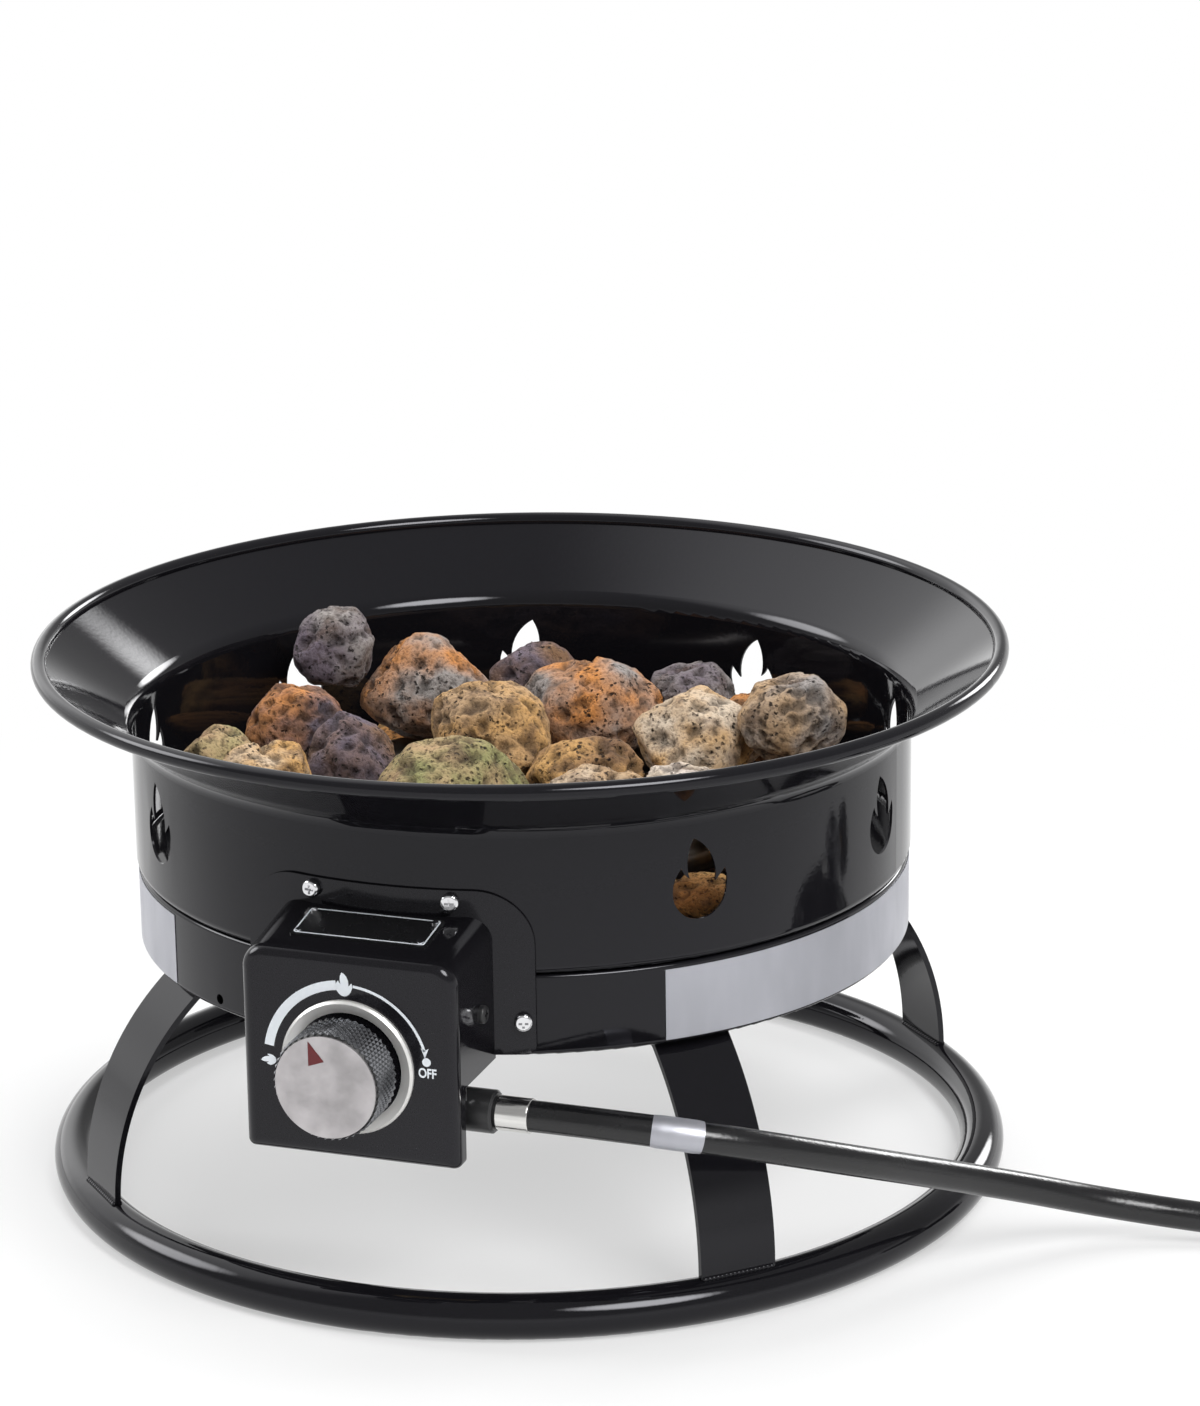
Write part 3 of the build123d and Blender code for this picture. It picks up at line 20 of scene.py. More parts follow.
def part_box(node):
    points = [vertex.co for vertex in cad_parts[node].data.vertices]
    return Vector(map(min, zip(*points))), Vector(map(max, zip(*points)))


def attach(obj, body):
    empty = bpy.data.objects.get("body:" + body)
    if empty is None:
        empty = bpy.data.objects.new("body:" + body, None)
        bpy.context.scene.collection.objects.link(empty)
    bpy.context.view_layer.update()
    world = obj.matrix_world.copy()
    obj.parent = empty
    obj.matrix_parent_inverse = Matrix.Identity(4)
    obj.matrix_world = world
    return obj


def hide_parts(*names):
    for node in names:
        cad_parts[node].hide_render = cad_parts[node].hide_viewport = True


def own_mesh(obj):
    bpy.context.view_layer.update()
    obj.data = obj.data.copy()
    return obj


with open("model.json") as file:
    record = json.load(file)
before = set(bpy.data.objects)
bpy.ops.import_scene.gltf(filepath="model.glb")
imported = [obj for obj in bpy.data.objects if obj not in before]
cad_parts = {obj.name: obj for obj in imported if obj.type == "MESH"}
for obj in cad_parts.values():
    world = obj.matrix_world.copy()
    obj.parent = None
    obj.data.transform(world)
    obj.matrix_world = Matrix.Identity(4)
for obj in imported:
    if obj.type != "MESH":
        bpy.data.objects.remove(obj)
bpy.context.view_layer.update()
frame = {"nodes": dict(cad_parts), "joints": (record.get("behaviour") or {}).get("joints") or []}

nodes = frame["nodes"]

# %% [markdown]
# ## The camera
#
# The picture was taken from a little to the right of the control box and from above, with a long lens.
# A camera could be set by eye, but place, aim, roll and lens were fitted to the rims, the ring and the box,
# so a piece that sits right in the model also sits right in the frame.

# %% Camera
CAMERA_PLACE = Vector((0.80410, -2.16795, 0.95048))
CAMERA_AIM = Vector((0.01125, 0.08567, 0.21386))
CAMERA_ROLL = math.radians(-0.8262)
CAMERA_LENS = 146.02
FILM_WIDTH = 36.0


def add_object(name, data):
    """A new object in the scene, at the origin."""
    made = bpy.data.objects.new(name, data)
    bpy.context.scene.collection.objects.link(made)
    return made


def aim(thing, place, target, roll=0.0):
    """Stand a camera or a lamp at a place and turn it to a target."""
    look = (Vector(target) - Vector(place)).to_track_quat("-Z", "Y")
    thing.location = place
    thing.rotation_mode = "QUATERNION"
    thing.rotation_quaternion = look @ Quaternion((0, 0, 1), roll)


lens = bpy.data.cameras.new("studio_camera")
lens.lens = CAMERA_LENS
lens.sensor_fit = "HORIZONTAL"
lens.sensor_width = FILM_WIDTH
camera = add_object("studio_camera", lens)
aim(camera, CAMERA_PLACE, CAMERA_AIM, CAMERA_ROLL)
bpy.context.scene.camera = camera
bpy.context.scene.view_settings.view_transform = "Standard"
print("camera at", tuple(round(x, 3) for x in camera.location))

# %% [markdown]
# ## The gas hose
#
# A low-pressure gas hose is stiff: it leaves its ferrule straight, comes down to the floor in one long
# bend and lies there. What the picture doesn't show is wound into a coil with a tie, as for storage.
# The route is a short list of points on one smooth spline, because bends joined from arcs look like wire.
# The coil's turns are worked out by a loop: they spiral in on the floor, climb one layer in half a turn,
# and spiral out again on top.

# %% Hose route and coil
HOSE_D = 0.015
HOSE_ROUNDNESS = 5
HOSE_STEPS = 8
HOSE_ROUTE = [
    (0.080, -0.212, 0.109),
    (0.126, -0.212, 0.109),
    (0.174, -0.195, 0.1005),
    (0.213, -0.150, 0.079),
    (0.241, -0.101, 0.0565),
    (0.271, -0.060, 0.037),
    (0.306, -0.027, 0.0195),
    (0.360, -0.012, 0.011),
    (0.420, -0.008, 0.0095),
    (0.477, -0.008, 0.0095),
]
COIL_X = 0.492
COIL_PITCH = 0.0155
COIL_TURNS = 4.25
COIL_MEAN_R = 0.090
COIL_R = COIL_MEAN_R + COIL_PITCH * COIL_TURNS / 4
COIL_Y = HOSE_ROUTE[-1][1] + COIL_R
COIL_LOW = HOSE_ROUTE[-1][2]
COIL_LAYER = 0.0156
COIL_POINTS = 24
SPLINE_ORDER = 3


def coil_points():
    """The coil's control points, set a little wide because the spline runs inside them."""
    whole = math.tau * COIL_TURNS
    widen = 1 / math.cos(math.pi / COIL_POINTS)
    count = round(COIL_POINTS * COIL_TURNS)
    points = []
    for step in range(count + 1):
        angle = whole * step / count
        radius = (COIL_R - COIL_PITCH * min(angle, whole - angle) / math.tau) * widen
        climb = min(max((angle - whole / 2) / math.pi + 0.5, 0), 1)
        x = COIL_X + radius * math.sin(angle)
        y = COIL_Y - radius * math.cos(angle)
        points.append((x, y, COIL_LOW + COIL_LAYER * climb))
    return points


def spline_through(name, points):
    """A curve object with one open, smooth spline on these control points."""
    curve = bpy.data.curves.new(name, "CURVE")
    curve.dimensions = "3D"
    spline = curve.splines.new("NURBS")
    spline.points.add(len(points) - 1)
    for point, place in zip(spline.points, points):
        point.co = (*place, 1)
    spline.order_u = SPLINE_ORDER
    spline.use_endpoint_u = True
    return add_object(name, curve)


def thicken(curve, diameter, roundness, steps):
    """Give a spline a round section that is closed at both ends."""
    curve.bevel_depth = diameter / 2
    curve.bevel_resolution = roundness
    curve.resolution_u = steps
    curve.use_fill_caps = True


tail_end = (COIL_X + COIL_R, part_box("regulator_ferrule")[0].y, COIL_LOW + COIL_LAYER)
hose_points = HOSE_ROUTE + coil_points() + [tail_end]
gas_hose = spline_through("gas_hose", hose_points)
bare_line = bpy.data.meshes.new_from_object(gas_hose)
hose_line = [Vector(vertex.co) for vertex in bare_line.vertices]
thicken(gas_hose.data, HOSE_D, HOSE_ROUNDNESS, HOSE_STEPS)

# %% [markdown]
# ## The studio
#
# A white floor and a white surround, as in a catalogue. Gloss black shows nothing but what it mirrors,
# so the room matters more than the lamps. The camera, mirrors and glass all see the same room:
# white at the floor and at the horizon, and greyer overhead, where a studio has its dark ceiling.
# The lamps themselves are kept out of the mirror, so that no hard-edged square shows on the bowl:
# soft bright places in the surround stand for them there, and light up every rounded edge.

# %% Studio values
FLOOR_SIZE = 30.0
FLOOR_WHITE = 0.93
FLOOR_LIFT = (0.48, 1.0)
LIFT_REACH = (0.26, 0.80)
WHITE = (1.0, 1.0, 1.0)
CEILING_START = (0.03, 0.24)
CEILING_TONE = (1.0, 0.40)
SKY_FILL = 0.36
GLOWS = {
    "front_right": dict(towards=(0.55, -0.45, 0.70), reach=(0.955, 0.992), strength=16.0),
    "left": dict(towards=(-0.85, -0.10, 0.52), reach=(0.95, 0.99), strength=8.0),
    "back_right": dict(towards=(0.26, 0.90, 0.36), reach=(0.98, 0.998), strength=15.0),
    "back_left": dict(towards=(-0.62, 0.78, 0.08), reach=(0.86, 0.99), strength=0.9),
    "above_left": dict(towards=(-0.70, 0.27, 0.67), reach=(0.70, 0.97), strength=1.3),
}
PANELS = {
    "key_panel": dict(place=(1.5, -1.2, 2.1), target=(0, 0, 0.15), size=(1.3, 1.3), watts=46),
    "left_panel": dict(place=(-2.1, 0.1, 1.0), target=(0, 0, 0.15), size=(0.7, 1.6), watts=24),
    "top_panel": dict(place=(-0.2, 0.5, 2.3), target=(0, 0, 0.1), size=(1.6, 1.2), watts=30),
    "back_panel": dict(place=(1.2, 2.1, 1.3), target=(0, 0, 0.2), size=(1.6, 0.8), watts=22),
}
print("studio with", len(GLOWS), "glows and", len(PANELS), "panels")


# %% Node tools
class Wiring:
    """A node tree being made, with short calls for what every tree here needs."""

    family = "ShaderNode"

    def __init__(self, tree):
        self.tree = tree

    def feed(self, socket, value):
        """Link an output to a socket, or set the socket to a value."""
        if isinstance(value, bpy.types.NodeSocket):
            self.tree.links.new(value, socket)
        elif socket.type == "RGBA" and len(value) == 3:
            socket.default_value = (*value, 1)
        else:
            socket.default_value = value

    def node(self, kind, *values, operation=None, **named):
        """A new node, with its first sockets and some named ones fed."""
        made = self.tree.nodes.new(self.family + kind)
        if operation:
            made.operation = operation
        for socket, value in zip(made.inputs, values):
            self.feed(socket, value)
        for title, value in named.items():
            self.feed(made.inputs[title.replace("_", " ")], value)
        return made

    def span(self, value, low, high, to_low=0.0, to_high=1.0, curve="LINEAR"):
        """Stretch the part of a value between low and high to another range."""
        made = self.node(
            "MapRange", Value=value, From_Min=low, From_Max=high, To_Min=to_low, To_Max=to_high,
        )
        made.interpolation_type = curve
        return made.outputs["Result"]

    def calc(self, operation, *values):
        """A number worked out from others."""
        return self.node("Math", *values, operation=operation).outputs[0]

    def measure(self, operation, *vectors):
        """A number worked out from vectors."""
        return self.node("VectorMath", *vectors, operation=operation).outputs["Value"]


class Stage(Wiring):
    """The nodes of the floor or the surround, which know the rays that show a background."""

    def __init__(self, owner, output):
        owner.use_nodes = True
        super().__init__(owner.node_tree)
        self.tree.nodes.clear()
        rays = self.node("LightPath").outputs
        mirrored = self.calc("MAXIMUM", rays["Is Glossy Ray"], rays["Is Transmission Ray"])
        self.seen = self.calc("MAXIMUM", rays["Is Camera Ray"], mirrored)
        self.output = self.node(output).inputs["Surface"]

    def ramp(self, value, reach, to):
        """A smooth step of a value between two limits."""
        return self.span(value, *reach, *to, curve="SMOOTHSTEP")

    def show(self, share, first, second):
        """End the tree in a shader between two others."""
        mixed = self.node("MixShader", share, first.outputs[0], second.outputs[0])
        self.feed(self.output, mixed.outputs[0])


# %% Floor and surround
def studio_floor():
    """A wide white floor, which turns pure white away from the pit and keeps the shadow near it."""
    half = FLOOR_SIZE / 2
    corners = [(-half, -half, 0), (half, -half, 0), (half, half, 0), (-half, half, 0)]
    mesh = bpy.data.meshes.new("studio_floor")
    mesh.from_pydata(corners, [], [range(len(corners))])
    material = bpy.data.materials.new("studio_floor")
    wires = Stage(material, "OutputMaterial")
    away = wires.measure("DISTANCE", wires.node("TexCoord").outputs["Object"], (0, 0, 0))
    white_share = wires.calc("MULTIPLY", wires.ramp(away, LIFT_REACH, FLOOR_LIFT), wires.seen)
    matt = wires.node("BsdfDiffuse", Color=(FLOOR_WHITE, FLOOR_WHITE, FLOOR_WHITE))
    wires.show(white_share, matt, wires.node("Emission", Color=WHITE))
    mesh.materials.append(material)
    return add_object("studio_floor", mesh)


def studio_surround():
    """White round the horizon and greyer overhead, with the lamps as soft bright places."""
    world = bpy.data.worlds.new("studio")
    wires = Stage(world, "OutputWorld")
    direction = wires.node("TexCoord").outputs["Generated"]
    height = wires.node("SeparateXYZ", Vector=direction).outputs["Z"]
    strength = wires.ramp(height, CEILING_START, CEILING_TONE)
    for glow in GLOWS.values():
        near = wires.measure("DOT_PRODUCT", direction, Vector(glow["towards"]).normalized())
        strength = wires.calc("ADD", strength, wires.ramp(near, glow["reach"], (0, glow["strength"])))
    room = wires.node("Background", Color=WHITE, Strength=strength)
    fill = wires.node("Background", Color=WHITE, Strength=SKY_FILL)
    wires.show(wires.seen, fill, room)
    bpy.context.scene.world = world


studio_floor()
studio_surround()
print("floor and surround ready")

# %% Lamps
for name, panel in PANELS.items():
    lamp = bpy.data.lights.new(name, "AREA")
    lamp.shape = "RECTANGLE"
    lamp.size, lamp.size_y = panel["size"]
    lamp.energy = panel["watts"]
    stand = add_object(name, lamp)
    stand.visible_glossy = False
    aim(stand, panel["place"], panel["target"])
    print(name, lamp.energy, "W")

# %% [markdown]
# ## A workbench for finishes
#
# Every finish below is a small tree of nodes: a texture or two on the piece's own coordinates,
# a ramp, a bump. They could be wired one by one, but a class keeps the calls short,
# so that each finish reads as a recipe. A value that is the same all over is set on the shader itself.

# %% Finish class
NOISE_MIDDLE = (0.3, 0.7)
MIX_SOCKETS = (0, 6, 7)
MIX_RESULT = 2


class Finish(Wiring):
    """A material being made, with short calls for the nodes that the finishes share."""

    def __init__(self, name, **shader_values):
        self.material = bpy.data.materials.new(name)
        self.material.use_nodes = True
        super().__init__(self.material.node_tree)
        self.shader = self.tree.nodes["Principled BSDF"]
        for title, value in shader_values.items():
            self.set(title.replace("_", " "), value)
        self.place = self.node("TexCoord").outputs["Object"]

    def set(self, title, value):
        """Feed one of the main shader's sockets."""
        self.feed(self.shader.inputs[title], value)

    def noise(self, scale, detail=3.0, at=None):
        """Cloudy noise, with so many clouds to the metre."""
        made = self.node("TexNoise", Vector=at or self.place, Scale=scale, Detail=detail)
        return made.outputs["Fac"]

    def cells(self, scale, at=None):
        """Distance to the nearest of scattered points, with so many points to the metre."""
        return self.node("TexVoronoi", Vector=at or self.place, Scale=scale).outputs["Distance"]

    def roughen(self, value, low, high):
        """Let the roughness follow a noise, from low to high over the middle of its range."""
        self.set("Roughness", self.span(value, *NOISE_MIDDLE, low, high))

    def mix(self, share, first, second):
        """A colour between two others."""
        made = self.node("Mix")
        made.data_type = "RGBA"
        for index, value in zip(MIX_SOCKETS, (share, first, second)):
            self.feed(made.inputs[index], value)
        return made.outputs[MIX_RESULT]

    def colour(self, share, first, second):
        """Let the colour run between two others."""
        self.set("Base Color", self.mix(share, first, second))

    def attribute(self, name, output="Fac"):
        """A value that the mesh carries on its points."""
        made = self.node("Attribute")
        made.attribute_name = name
        return made.outputs[output]

    def bent(self, scale, reach):
        """Object coordinates, pushed about by cloudy noise, so that round marks turn irregular."""
        swirl = self.node("TexNoise", Vector=self.place, Scale=scale).outputs["Color"]
        made = self.node("VectorMath", swirl, (reach, reach, reach), self.place, operation="MULTIPLY_ADD")
        return made.outputs[0]

    def stretched(self, scale):
        """Object coordinates, scaled differently along each axis."""
        return self.node("Mapping", Vector=self.place, Scale=scale).outputs[0]

    def bump(self, height, depth, under=None):
        """Raise the surface by a height from 0 to 1, times a depth in metres."""
        made = self.node("Bump", Height=height, Distance=depth)
        if under:
            self.feed(made.inputs["Normal"], under)
        self.set("Normal", made.outputs[0])
        return made.outputs[0]


def times(tone, share):
    """A colour made darker or lighter."""
    return tuple(share * part for part in tone)


# %% [markdown]
# ## Black finishes
#
# Bowl, pan, legs, ring and box are steel with gloss black enamel, fired or baked on.
# Such a coat is nearly a black mirror, with a faint orange peel and the slow waves of the pressed sheet
# under it. A plain glossy black would look like glass, so both waves are in the bump: they are what makes
# the reflections swim. The box is a shade softer than the bowl.

# %% Enamel, satin black and rubber
ENAMEL_IOR = 1.37
ENAMEL_TINT = (0.95, 0.95, 1.0)
SPECK_SCALE = 900.0
SPECK_TONE = 1.7
HAZE_SCALE = 9.0
HAZE_REACH = (0.75, 1.3)
WAVE_SCALE = 7.0
PEEL_SCALE = 420.0
PEEL_DEPTH = 0.000012
SATIN_DARK = 0.72
SATIN_SCALE = 60.0
SATIN_REACH = 0.06


def enamel(name, roughness, wave, tone):
    """Gloss black enamel on sheet steel, with so much wave in the sheet."""
    coat = Finish(name, IOR=ENAMEL_IOR, Specular_Tint=ENAMEL_TINT)
    coat.colour(coat.noise(SPECK_SCALE, 2.0), tone, times(tone, SPECK_TONE))
    coat.roughen(coat.noise(HAZE_SCALE), *times(HAZE_REACH, roughness))
    slow = coat.bump(coat.noise(WAVE_SCALE, 1.0), wave)
    coat.bump(coat.noise(PEEL_SCALE, 1.0), PEEL_DEPTH, slow)
    return coat.material


def satin_black(name, tone, roughness, grain, depth):
    """Moulded or sprayed black with a fine grain."""
    skin = Finish(name)
    fine = skin.noise(grain)
    skin.colour(fine, times(tone, SATIN_DARK), tone)
    skin.roughen(skin.noise(SATIN_SCALE), roughness - SATIN_REACH, roughness + SATIN_REACH)
    skin.bump(fine, depth)
    return skin.material


bowl_enamel = enamel("bowl_enamel", 0.055, 0.0011, (0.0048, 0.0046, 0.0058))
box_enamel = enamel("box_enamel", 0.075, 0.0004, (0.0060, 0.0057, 0.0070))
hose_skin = satin_black("hose_skin", (0.010, 0.010, 0.011), 0.22, 620.0, 0.00012)
fitting_black = satin_black("fitting_black", (0.020, 0.020, 0.021), 0.34, 500.0, 0.00004)
plate_satin = satin_black("plate_satin", (0.012, 0.012, 0.013), 0.26, 800.0, 0.00002)
grip_black = satin_black("grip_black", (0.030, 0.030, 0.031), 0.45, 600.0, 0.00005)
gasket_grey = satin_black("gasket_grey", (0.090, 0.088, 0.085), 0.75, 900.0, 0.00008)
print("black finishes ready")

# %% [markdown]
# ## Bright metals
#
# Chrome, zinc, turned brass and die-cast aluminium differ in how they were made: plating is smooth,
# turning leaves fine rings, casting leaves a grain, and heat turns a burner straw and blue.
# Each could have a tree of its own, but most are the same recipe with another scale of marks.

# %% Metals
METAL_SCALE = 140.0
METAL_REACH = (0.7, 1.35)
METAL_SHADE = 0.8


def metal(name, tone, roughness, marks, depth, stretch=(1, 1, 1), shine=1.0, shade=METAL_SHADE):
    """Bare or plated metal with fine marks, drawn out along the axes by a stretch; on the knob cap the
    marks are broad patches of painted reflection.
    """
    bare = Finish(name, Metallic=shine)
    lines = bare.noise(marks, at=bare.stretched(stretch))
    bare.colour(lines, times(tone, shade), tone)
    bare.roughen(bare.noise(METAL_SCALE), *times(METAL_REACH, roughness))
    bare.bump(lines, depth)
    return bare.material


KNOB_Z = next(joint["pos_m"][2] for joint in frame["joints"] if joint["name"] == "knob_turn")
bright_chrome = metal("bright_chrome", (0.86, 0.86, 0.88), 0.07, 90.0, 0.00012)
zinc = metal("zinc", (0.62, 0.62, 0.63), 0.30, 500.0, 0.00003)
turned_brass = metal("turned_brass", (0.78, 0.58, 0.27), 0.24, 600.0, 0.00002)
cast_metal = metal("cast_metal", (0.46, 0.46, 0.47), 0.42, 800.0, 0.00007)
pipe_metal = metal("pipe_metal", (0.66, 0.66, 0.67), 0.26, 700.0, 0.00002, (1, 0.05, 1))
ferrule_metal = metal("ferrule_metal", (0.80, 0.79, 0.77), 0.16, 900.0, 0.00002, (0.08, 1, 1))
# The knob cap's colour runs in broad patches down to 0.28 of its tone: a painted mottled reflection, on top
# of the real one.
cap_chrome = metal("cap_chrome", (0.70, 0.67, 0.68), 0.18, 60.0, 0.0018, shine=0.62, shade=0.28)
print("plain metals ready")

# %% Heat tint and spun rings
TINT_SCALE = 32.0
STEEL, STRAW, BLUE = (0.42, 0.40, 0.38), (0.40, 0.28, 0.14), (0.13, 0.12, 0.19)
STRAW_FROM = (0.42, 0.60)
BLUE_FROM = (0.55, 0.72)
BURNT_ROUGH = (0.28, 0.50)
BURNT_GRAIN = 500.0
BURNT_DEPTH = 0.00003
BEZEL_TONE = (0.80, 0.79, 0.77)
BEZEL_SHINE = 0.45
BEZEL_DARK = 0.82
BEZEL_ROUGH = (0.30, 0.44)
BEZEL_RINGS = 1500.0
BEZEL_DEPTH = 0.00003


def heat_tinted(name):
    """Stainless steel that heat has tinted in patches."""
    burnt = Finish(name, Metallic=1.0)
    patches = burnt.noise(TINT_SCALE)
    straw = burnt.mix(burnt.span(patches, *STRAW_FROM), STEEL, STRAW)
    burnt.colour(burnt.span(patches, *BLUE_FROM), straw, BLUE)
    burnt.roughen(patches, *BURNT_ROUGH)
    burnt.bump(burnt.noise(BURNT_GRAIN), BURNT_DEPTH)
    return burnt.material


def spun_metal(name):
    """Metal turned on the knob's axis, with fine rings round it."""
    spun = Finish(name, Metallic=BEZEL_SHINE)
    centred = spun.node("Mapping", Vector=spun.place, Location=(0, 0, -KNOB_Z)).outputs[0]
    flat = spun.node("VectorMath", centred, (1, 0, 1), operation="MULTIPLY").outputs[0]
    line = spun.node("CombineXYZ", X=spun.measure("LENGTH", flat)).outputs[0]
    ring = spun.noise(BEZEL_RINGS, 2.0, line)
    spun.colour(ring, times(BEZEL_TONE, BEZEL_DARK), BEZEL_TONE)
    spun.roughen(ring, *BEZEL_ROUGH)
    spun.bump(ring, BEZEL_DEPTH)
    return spun.material


burnt_steel = heat_tinted("burnt_steel")
bezel_metal = spun_metal("bezel_metal")
print("heat tint and spun rings ready")

# %% [markdown]
# ## Foil, paint and strap
#
# The pan carries two blank foil panels, slightly rippled where they follow the steel.
# The pointer is painted dark red, the dial print is pale, and a woven strap ties the coil.
# Ripples and threads are bumps on a noise and on two waves, since they are far finer than the mesh.

# %% Foil, paint and strap
FOIL_SHINE = 0.6
FOIL_TONES = ((0.36, 0.365, 0.400), (0.50, 0.505, 0.550))
FOIL_ROUGH = (0.36, 0.50)
FOIL_RUB = 30.0
RIPPLE_SCALE = 55.0
RIPPLE_STRETCH = (1, 1, 0.35)
RIPPLE_DEPTH = 0.0006
PAINT_SCALE = 400.0
PAINT_REACH = 0.08
THREAD_TONES = ((0.008, 0.008, 0.008), (0.040, 0.040, 0.042))
THREAD_ROUGH = (0.95, 0.75)
THREAD_DEPTH = 0.0002
WARP_SCALE = 260.0
WEFT_SCALE = 200.0
STRAP_SHEEN = 0.3


def foil_panel(name):
    """Satin foil with faint ripples and rubbed patches."""
    foil = Finish(name, Metallic=FOIL_SHINE)
    ripple = foil.noise(RIPPLE_SCALE, 2.0, foil.stretched(RIPPLE_STRETCH))
    foil.colour(ripple, *FOIL_TONES)
    foil.roughen(foil.noise(FOIL_RUB), *FOIL_ROUGH)
    foil.bump(ripple, RIPPLE_DEPTH)
    return foil.material


def brushed_paint(name, low, high, roughness):
    """A thin coat of paint or print that isn't quite even."""
    paint = Finish(name)
    patches = paint.noise(PAINT_SCALE, 2.0)
    paint.colour(patches, low, high)
    paint.roughen(patches, roughness - PAINT_REACH, roughness + PAINT_REACH)
    return paint.material


def woven_strap(name):
    """Black webbing: two sets of threads that cross."""
    strap = Finish(name, Sheen_Weight=STRAP_SHEEN)
    warp = strap.node("TexWave", Vector=strap.stretched((0, 1, 0)), Scale=WARP_SCALE)
    weft = strap.node("TexWave", Vector=strap.stretched((1, 0, 1)), Scale=WEFT_SCALE)
    threads = strap.calc("MAXIMUM", warp.outputs["Fac"], weft.outputs["Fac"])
    strap.colour(threads, *THREAD_TONES)
    strap.set("Roughness", strap.span(threads, 0.0, 1.0, *THREAD_ROUGH))
    strap.bump(threads, THREAD_DEPTH)
    return strap.material


label_foil = foil_panel("label_foil")
pointer_paint = brushed_paint("pointer_paint", (0.080, 0.002, 0.004), (0.14, 0.004, 0.007), 0.35)
dial_white = brushed_paint("dial_white", (0.80, 0.85, 0.90), (0.90, 0.94, 0.98), 0.45)
strap_black = woven_strap("strap_black")
print("foil, paint and strap ready")

# %% [markdown]
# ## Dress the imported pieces
#
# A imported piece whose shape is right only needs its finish. It could be found by its slot,
# but one slot can hold several finishes, so a table says which piece wears which.

# %% Assign finishes
WEARS = [
    (bowl_enamel, ["fire_bowl", "lower_pan", "base_ring"]),
    (bowl_enamel, ["leg_front_right", "leg_front_left", "leg_rear_right", "leg_rear_left"]),
    (box_enamel, ["control_box"]),
    (plate_satin, ["name_plate"]),
    (label_foil, ["foil_label_right", "foil_label_left"]),
    (bright_chrome, ["flange_screws", "plate_rivets"]),
    (cap_chrome, ["knob_cap"]),
    (zinc, ["pan_bolts", "pan_nuts", "leg_bolts", "leg_nuts", "burner_lock_nut", "regulator_screws"]),
    (zinc, ["valve_bracket", "push_collar", "valve_stem", "valve_spring"]),
    (burnt_steel, ["burner_ring"]),
    (gasket_grey, ["burner_gasket"]),
    (cast_metal, ["air_mixer", "regulator_body", "regulator_cover"]),
    (turned_brass, ["gas_jet", "pipe_nuts", "valve_body", "tank_nipple"]),
    (fitting_black, ["hose_nut", "knob", "flank_screws"]),
    (pipe_metal, ["gas_pipe"]),
    (ferrule_metal, ["hose_ferrule", "regulator_ferrule"]),
    (bezel_metal, ["dial_bezel"]),
    (pointer_paint, ["knob_pointer"]),
    (strap_black, ["coil_tie"]),
    (grip_black, ["regulator_vent", "coupling_nut"]),
]


def dress(mesh, finish):
    """Let a mesh wear one finish only."""
    mesh.materials.clear()
    mesh.materials.append(finish)


for finish, wearers in WEARS:
    for wearer in wearers:
        dress(nodes[wearer].data, finish)
dress(gas_hose.data, hose_skin)
print("dressed", sum(len(wearers) for finish, wearers in WEARS), "packed pieces and the hose")


# %% Keep a piece
def keep(piece, body, slot, *stands_for):
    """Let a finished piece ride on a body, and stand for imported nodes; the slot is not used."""
    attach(piece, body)
    if stands_for:
        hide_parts(*stands_for)
    return piece


def piece_from(name, mesh, finish):
    """A new object at the origin, with its place in its mesh."""
    dress(mesh, finish)
    return add_object(name, mesh)


# %% [markdown]
# ## Lava rock
#
# Lava rock is tumbled pumice: rounded, but full of burst bubbles. Each packed stone is a plain faceted
# block. Smoothing the block would shrink it, so a ball of points is blown up inside it until it meets the
# block's faces, with the corners rounded off by a soft minimum over the faces. Noise then swells it,
# and pits are pressed in at random, each of its own width.
# Two colours and the depth of the pits go with the points, for the finish to read; the finish paints shade
# into the pits by their depth.
# The dice and the noise both get a seed: without one, Blender's vector noise starts from the clock,
# and no two runs would give the same stones.

# %% Stones as planes
MERGE_REACH = 1e-6


def stone_blocks(node):
    """The stones of a node: for each, its middle and its faces as directions and distances."""
    shape = bmesh.new()
    shape.from_mesh(nodes[node].data)
    bmesh.ops.remove_doubles(shape, verts=shape.verts, dist=MERGE_REACH)
    shape.verts.index_update()
    blocks = []
    left = set(shape.verts)
    while left:
        found = [min(left, key=lambda vert: vert.index)]
        left.remove(found[0])
        for vert in found:
            others = [link.other_vert(vert) for link in vert.link_edges]
            fresh = [other for other in others if other in left]
            left.difference_update(fresh)
            found.extend(fresh)
        corners = np.array([vert.co for vert in found])
        middle = (corners.min(0) + corners.max(0)) / 2
        faces = dict.fromkeys(face for vert in found for face in vert.link_faces)
        normals = np.array([face.normal for face in faces])
        points = np.array([face.verts[0].co for face in faces])
        reach = ((points - middle) * normals).sum(1)
        blocks.append((middle, normals, reach))
    shape.free()
    return sorted(blocks, key=lambda block: tuple(block[0]))


heap_blocks = stone_blocks("lava_heap")
bed_blocks = stone_blocks("lava_bed")
print(len(heap_blocks), "stones in the heap and", len(bed_blocks), "in the bed")

# %% Blow up one stone
SOFT_CORNERS = 34.0
BLOW_UP = 1.09
CHIPS = 11
CHIP_DEPTH = (0.80, 0.95)
NOISE_SHIFT = 50
SWELL = 0.060
SWELL_SCALE = 1.8
SWELL_ROUGHNESS = 0.8
SWELL_STEP = 2.1
SWELL_LAYERS = 5
PIT_WIDTHS = (0.0009, 0.0054)
PIT_BIAS = 2.6
PIT_OVAL = (0.7, 1.6)
PIT_DEPTH = 0.75
PIT_WARP = 0.0022
PIT_WARP_SCALE = 260
PIT_SHADE_EDGE = 1.6


